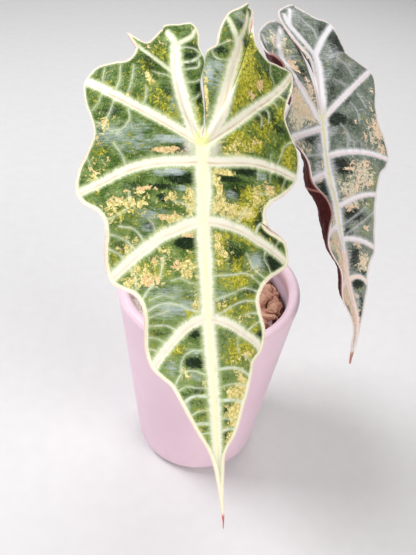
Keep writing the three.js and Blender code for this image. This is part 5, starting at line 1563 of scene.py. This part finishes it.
def add_scale(points, faces, turn, reach, low, high, radius):
    """A papery sheath: a curved scale of two faces, ragged along the top."""
    steps, rises = 18, 12
    first = len(points)
    for layer in (0.0, 0.45):
        for i in range(rises + 1):
            for k in range(steps + 1):
                u = k / steps * 2 - 1
                v = i / rises
                angle = turn + u * reach * (1 - 0.35 * v**2)
                crest = high - (high - low) * 0.35 * abs(u) ** 1.8 + 0.9 * sin(7 * u + 5 * turn)
                z = low + (crest - low) * v
                r = radius + 0.5 * abs(sin(4 * u + turn)) * v + 0.9 * v**3 * (1 - abs(u)) - layer
                points.append((r * cos(angle), r * sin(angle), z))
    width = steps + 1
    layer_size = (rises + 1) * width
    for i in range(rises):
        for k in range(steps):
            a = first + i * width + k
            faces.append((a, a + 1, a + width + 1, a + width))
            b = a + layer_size
            faces.append((b, b + width, b + width + 1, b + 1))
    rim = [first + k for k in range(width)]
    rim += [first + i * width + steps for i in range(1, rises + 1)]
    rim += [first + rises * width + k for k in range(steps - 1, -1, -1)]
    rim += [first + i * width for i in range(rises - 1, 0, -1)]
    for a, b in zip(rim, rim[1:] + rim[:1]):
        faces.append((a, a + layer_size, b + layer_size, b))


# Each sheath has its turn about the crown, how far it reaches round, its foot and its top.
SHEATHS = [(0.4, 1.5, 128, 142), (2.6, 1.4, 129, 144.5), (4.5, 1.6, 128, 143.5)]
SHEATH_RADIUS = 11.9


def crown_finish():
    finish = Finish("crown_skin", Specular_IOR_Level=0.35)
    place = finish.place_in_mm()
    fibre = finish.noise(finish.scaled(place, (1.3, 1.3, 0.18)), 1.0, 4, 0.6)
    ground = finish.over(paint(96, 70, 46), paint(176, 148, 104), fibre, 0.35, 0.66)
    green = finish.noise(place, 0.12, 2)
    ground = finish.over(ground, paint(120, 124, 72), green, 0.5, 0.66, 0, 0.55)
    return finish.complete(ground, fibre, 0.6, 0.85, fibre, 0.0006, 0.7)


crown_profile = [(0, 112), (10, 112), (11.5, 114)]
for z in np.linspace(116, 143, 28):
    share = max(0, (z - 134) / 9)
    crown_profile.append((11.4 - 1.9 * share + 0.28 * sin(2.1 * z), float(z)))
crown_profile += [(9.6, 145), (9.3, 146.3), (8.4, 146.95), (0, 147)]
points, faces = revolve(crown_profile, 64)
for turn, reach, low, high in SHEATHS:
    add_scale(points, faces, turn, reach, low, high, SHEATH_RADIUS)
crown = mesh_object("crown_stem", points, faces, [crown_finish()], 50)
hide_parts("crown")
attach(crown, "root")
print("crown in mm:", in_mm(crown.dimensions))

# %% [markdown]
# ## The potting chips
# Aroids grow in a coarse mix of bark, clay granules and pale pumice. A bumpy disc would look like
# gravel on a tray, so every chip is its own closed form: angular flakes of bark, rounded clay and
# blunt pumice, laid in two layers over a dark bed of fine crumbs. In the photograph the right side
# is all brown, so the pumice chips there get the clay's finish, and a few more pumice chips lie at
# the left. A fixed seed keeps the mix the same at every run.

# %% Chips
# Lengths are in mm. The chips lie between the two reaches, and none rises above the ceiling.
BED_TOP = 134
CEILING = 140.6
INNER_REACH = 12.5
OUTER_REACH = 49.5
CHIP_COUNT = 300
CRUMB_COUNT = 420
BARK, CLAY, PUMICE, CRUMBS = range(4)
BROWN_FROM = 30  # the x and y beyond which no chip is pale
BROWN_BEHIND = -5
LEFT_PUMICE = [(-49, -9, 5.4), (-47.6, -15, 5.6), (-45.5, -21, 5.6), (-42, -27, 5.4),
               (-43, -7, 5.4), (-42, -14, 5.6), (-38, -20, 5.4)]
chance = np.random.default_rng(41)


def unit_blob(rings=7, sides=10):
    """A closed unit ball as points and faces."""
    profile = [(0, -1)]
    for k in range(1, rings):
        angle = -pi / 2 + pi * k / rings
        profile.append((cos(angle), sin(angle)))
    profile.append((0, 1))
    points, faces = revolve(profile, sides)
    return np.array(points, float), faces


def chip_points(ball, kind, size):
    """One chip shaped from the points of a unit ball: flat and angular, round, or blunt."""
    if kind == BARK:
        boxy = np.sign(ball) * np.abs(ball) ** 0.42
        form = boxy * (1, chance.uniform(0.45, 0.8), chance.uniform(0.22, 0.42))
        form = form + 0.16 * np.sin(3.1 * form[:, [1, 2, 0]] + chance.uniform(0, 6, 3))
        form = form * (1 + 0.16 * np.sin(5 * form[:, :1] + chance.uniform(0, 6)))
    elif kind == CLAY:
        form = ball * (1, chance.uniform(0.8, 1), chance.uniform(0.72, 0.9))
        wave = np.sin(6 * form[:, [2]] + 5 * form[:, [0]] + chance.uniform(0, 6))
        form = form * (1 + 0.05 * wave)
        form = form * 0.78
    else:
        boxy = np.sign(ball) * np.abs(ball) ** 0.7
        form = boxy * (0.8, chance.uniform(0.55, 0.78), chance.uniform(0.5, 0.7))
        wave = np.sin(4.3 * form[:, [1]] + 3 * form[:, [2]] + chance.uniform(0, 6))
        form = form * (1 + 0.14 * wave)
    angles = (*chance.uniform(-0.55, 0.55, 2), chance.uniform(0, 2 * pi))
    turn = np.array((Matrix.Rotation(angles[2], 3, "Z") @ Matrix.Rotation(angles[0], 3, "X")
                     @ Matrix.Rotation(angles[1], 3, "Y")))
    return (form * size) @ turn.T


def add_chip(kind, stuff, size, centre, blob, parts):
    """One chip with the form of its kind and the finish of its stuff."""
    ball, faces = blob
    start = sum(len(p) for p in parts["points"])
    shape = chip_points(ball, kind, size) + centre
    shape[:, 2] = np.minimum(shape[:, 2], CEILING)
    parts["points"].append(shape)
    parts["faces"] += [tuple(v + start for v in face) for face in faces]
    parts["stuff"] += [stuff] * len(faces)
    parts["tone"].append(np.full(len(shape), chance.uniform(0, 1)))


def lay_chips(count, small, large, lift, blob, parts):
    """Chips spread evenly over the bed, each a golden angle further round than the last."""
    golden = pi * (3 - sqrt(5))
    for i in range(count):
        size = chance.uniform(small, large)
        kind = int(chance.choice([BARK, BARK, BARK, CLAY, PUMICE]))
        spread = OUTER_REACH - 0.8 * size - INNER_REACH
        reach = INNER_REACH + spread * sqrt((i + 0.5) / count)
        angle = i * golden + chance.uniform(0, 0.5)
        x, y = reach * cos(angle), reach * sin(angle)
        centre = (x, y, BED_TOP + lift * size + chance.uniform(-1, 0.8))
        brown_side = x > BROWN_FROM and y > BROWN_BEHIND
        stuff = CLAY if kind == PUMICE and brown_side else kind
        add_chip(kind, stuff, size, centre, blob, parts)


bed_profile = [(0, 4.6), (35, 4.6), (39, 9), (51.4, 128), (50.6, 132.5), (46, 133.2),
               (30, 133.6), (0, 133.4)]
bed_points, bed_faces = revolve(bed_profile, 96)
bed_points = np.array(bed_points, float)
surface = bed_points[:, 2] > 132
x, y = bed_points[surface, 0], bed_points[surface, 1]
bed_points[surface, 2] += 0.5 * np.sin(0.9 * x) * np.cos(0.8 * y)
parts = {"points": [bed_points], "faces": list(bed_faces), "stuff": [CRUMBS] * len(bed_faces),
         "tone": [np.full(len(bed_points), 0.5)]}
blob = unit_blob()
lay_chips(CHIP_COUNT, 3.6, 7.0, 0.05, blob, parts)
lay_chips(CHIP_COUNT // 3, 3.2, 5.6, 0.7, blob, parts)
lay_chips(CRUMB_COUNT, 0.8, 2.0, 0.4, unit_blob(4, 6), parts)
for x, y, size in LEFT_PUMICE:
    add_chip(PUMICE, PUMICE, size, (x, y, BED_TOP + 3.4), blob, parts)
print("faces in the potting mix:", len(parts["faces"]))

# %% [markdown]
# Dry bark, clay, pumice and crumbs differ in colour and grain, but all are dull and pitted, so one
# finish serves them. Every chip carries a tone of its own between the dark and the light colour.
# Bark has its grain drawn out into fibres.

# %% Finishes of the potting mix
# Each stuff has its dark, light and fleck colour, the scale and stretch of its grain and its depth.
STUFFS = {
    "bark_chip": ((150, 104, 82), (220, 168, 140), (236, 194, 168), 0.5, (0.5, 1.6, 1.6), 0.0007),
    "clay_granule": ((176, 122, 100), (218, 164, 136), (230, 190, 166), 0.9, (1, 1, 1), 0.0004),
    "pumice_chip": ((216, 200, 190), (238, 226, 218), (246, 238, 232), 1.2, (1, 1, 1), 0.0006),
    "fine_bed": ((70, 46, 36), (104, 70, 54), (132, 96, 74), 1.4, (1, 1, 1), 0.0012),
}


def chip_finish(name, dark, light, fleck, scale, stretch, depth):
    finish = Finish(name, Specular_IOR_Level=0.3)
    place = finish.place_in_mm()
    grain = finish.noise(finish.scaled(place, stretch), scale, 5, 0.65)
    body = finish.mix(finish.number("chip_tone"), paint(*dark), paint(*light))
    body = finish.over(body, paint(*fleck), grain, 0.35, 0.7, 0.0, 0.75)
    pits = finish.cells(place, 1.1)
    # Painted shade: the pits, which dent the relief, are painted darker.
    body = finish.over(body, paint(46, 30, 22), pits, 0.1, 0.5, 0.35, 0.0)
    relief = finish.weighted(grain, 0.7, finish.step(pits, 0.0, 0.5, 0.0, 0.5))
    return finish.complete(body, grain, 0.72, 0.95, relief, depth, 0.8)


finishes = [chip_finish(name, *plan) for name, plan in STUFFS.items()]
chips = mesh_object("chip_bed", np.vstack(parts["points"]), parts["faces"], finishes, 40)
chips.data.polygons.foreach_set("material_index", np.array(parts["stuff"], np.int32))
write_attribute(chips.data, "chip_tone", np.concatenate(parts["tone"]))
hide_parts("potting_chips")
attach(chips, "root")
print("chips up to z =", round(1000 * max(v.co.z for v in chips.data.vertices), 1), "mm")

# %% [markdown]
# ## The pot
# The pot is moulded plastic with a satin skin, a rolled lip and a rounded foot. The CAD pot has
# flat facets, so a finer one is turned from the same profile, and its drain holes are cut with a
# Boolean, as they would be punched. Its finish needs very little: a slow cloudiness in the colour,
# fine moulding grain, rub marks along the lip and a greyer tone low on the side, darker towards
# the foot.

# %% Pot
POT = {"height": 150, "rim": 60, "foot": 43, "round": 10, "wall": 4, "floor": 4, "lip": 7.5,
       "lip_depth": 11}
DRAIN_HOLES = 5
DRAIN_RADIUS = 4
DRAIN_RING = 27


def arc_points(centre, radius, start, end, steps):
    """Points on an arc between two angles in degrees."""
    angles = np.radians(np.linspace(start, end, steps + 1))
    return [(centre[0] + radius * cos(a), centre[1] + radius * sin(a)) for a in angles]


def outside_radius(z):
    """The radius of the pot's tapered side at a height."""
    return POT["foot"] + (POT["rim"] - POT["foot"]) * z / POT["height"]


def pot_profile():
    """Up the outside from the middle of the foot, over the lip and down the inside."""
    half_lip = POT["lip"] / 2
    lip_level = POT["height"] - half_lip
    low = lip_level - POT["lip_depth"]
    inner = POT["round"] - POT["wall"]
    profile = [(0, 0)]
    profile += arc_points((outside_radius(POT["round"]) - POT["round"], POT["round"]), POT["round"],
                          -90, -6.5, 14)
    for z in np.linspace(24, lip_level - 8, 12):
        profile.append((outside_radius(z), float(z)))
    profile += arc_points((POT["rim"] - half_lip, lip_level), half_lip, -8, 186, 28)
    inside = outside_radius(low) - POT["wall"]
    for share in np.linspace(0.2, 1, 9):
        ease = share * share * (3 - 2 * share)
        radius = POT["rim"] - POT["lip"] + 0.02 + (inside - POT["rim"] + POT["lip"]) * ease
        profile.append((radius, lip_level - 0.4 - (POT["lip_depth"] - 0.4) * share))
    for z in np.linspace(low - 6, 22, 8):
        profile.append((outside_radius(z) - POT["wall"], float(z)))
    base = outside_radius(POT["round"]) - POT["wall"] - inner
    profile += arc_points((base, POT["floor"] + inner), inner, 0, -90, 8)
    profile.append((0, POT["floor"]))
    return profile


def punched(pot, holes):
    """The pot with round holes cut through its floor."""
    points, faces = [], []
    for k in range(holes):
        turn = 2 * pi * k / holes
        x, y = DRAIN_RING * cos(turn), DRAIN_RING * sin(turn)
        pin_points, pin_faces = revolve([(0, -2), (DRAIN_RADIUS, -2), (DRAIN_RADIUS, 7), (0, 7)], 32)
        start = len(points)
        points += [(px + x, py + y, pz) for px, py, pz in pin_points]
        faces += [tuple(v + start for v in face) for face in pin_faces]
    pins = mesh_object("drain_pins", points, faces, [])
    cut = pot.modifiers.new("drain", "BOOLEAN")
    cut.operation = "DIFFERENCE"
    cut.object = pins
    cut.solver = "EXACT"
    graph = bpy.context.evaluated_depsgraph_get()
    result = bpy.data.meshes.new_from_object(pot.evaluated_get(graph))
    pot.modifiers.remove(cut)
    pot.data = result
    bpy.data.objects.remove(pins)
    return pot


def pot_finish():
    finish = Finish("pink_plastic", Specular_IOR_Level=0.42, Coat_Weight=0.06, Coat_Roughness=0.35)
    place = finish.place_in_mm()
    cloud = finish.noise(place, 0.018, 3, 0.5)
    ground = finish.over(paint(226, 194, 209), paint(232, 202, 216), cloud, 0.3, 0.7)
    grain = finish.noise(place, 1.6, 4, 0.6)
    ground = finish.over(ground, paint(240, 216, 227), grain, 0.3, 0.75, 0, 0.18)
    height = finish.part(place, 2)
    rub = finish.noise(finish.scaled(place, (0.1, 0.1, 0.9)), 1.0, 4, 0.7)
    on_lip = finish.step(height, 144, 149.4)
    worn = finish.times(on_lip, finish.step(rub, 0.45, 0.75, 0.1, 0.7))
    ground = finish.mix(worn, ground, paint(246, 226, 236))
    # A greyer, darker tone low on the side, fading out by 30 mm up.
    low = finish.step(height, 2, 30, 0.4, 0.0)
    greyer_low = finish.times(low, finish.step(finish.noise(place, 0.12, 4), 0.4, 0.7))
    ground = finish.mix(greyer_low, ground, paint(204, 186, 190))
    return finish.complete(ground, rub, 0.4, 0.52, grain, 0.00008, 0.5)


pot_points, pot_faces = revolve(pot_profile(), 180)
pot = mesh_object("pink_pot", pot_points, pot_faces, [pot_finish()], 40)
pot = punched(pot, DRAIN_HOLES)
smooth_faces(pot.data, 40)
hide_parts("pot")
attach(pot, "root")
print("pot in mm:", in_mm(pot.dimensions, 1))

# %% [markdown]
# ## Counting the triangles
# The triangles of the pieces made here are counted; the floor and the CAD nodes are left out.

# %% Triangle count
pieces = [o for o in bpy.data.objects if o.type == "MESH" and o.name != "studio_floor"]
made = [o for o in pieces if "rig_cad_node" not in o]
print("triangles in all:", sum(len(p.vertices) - 2 for o in made for p in o.data.polygons))
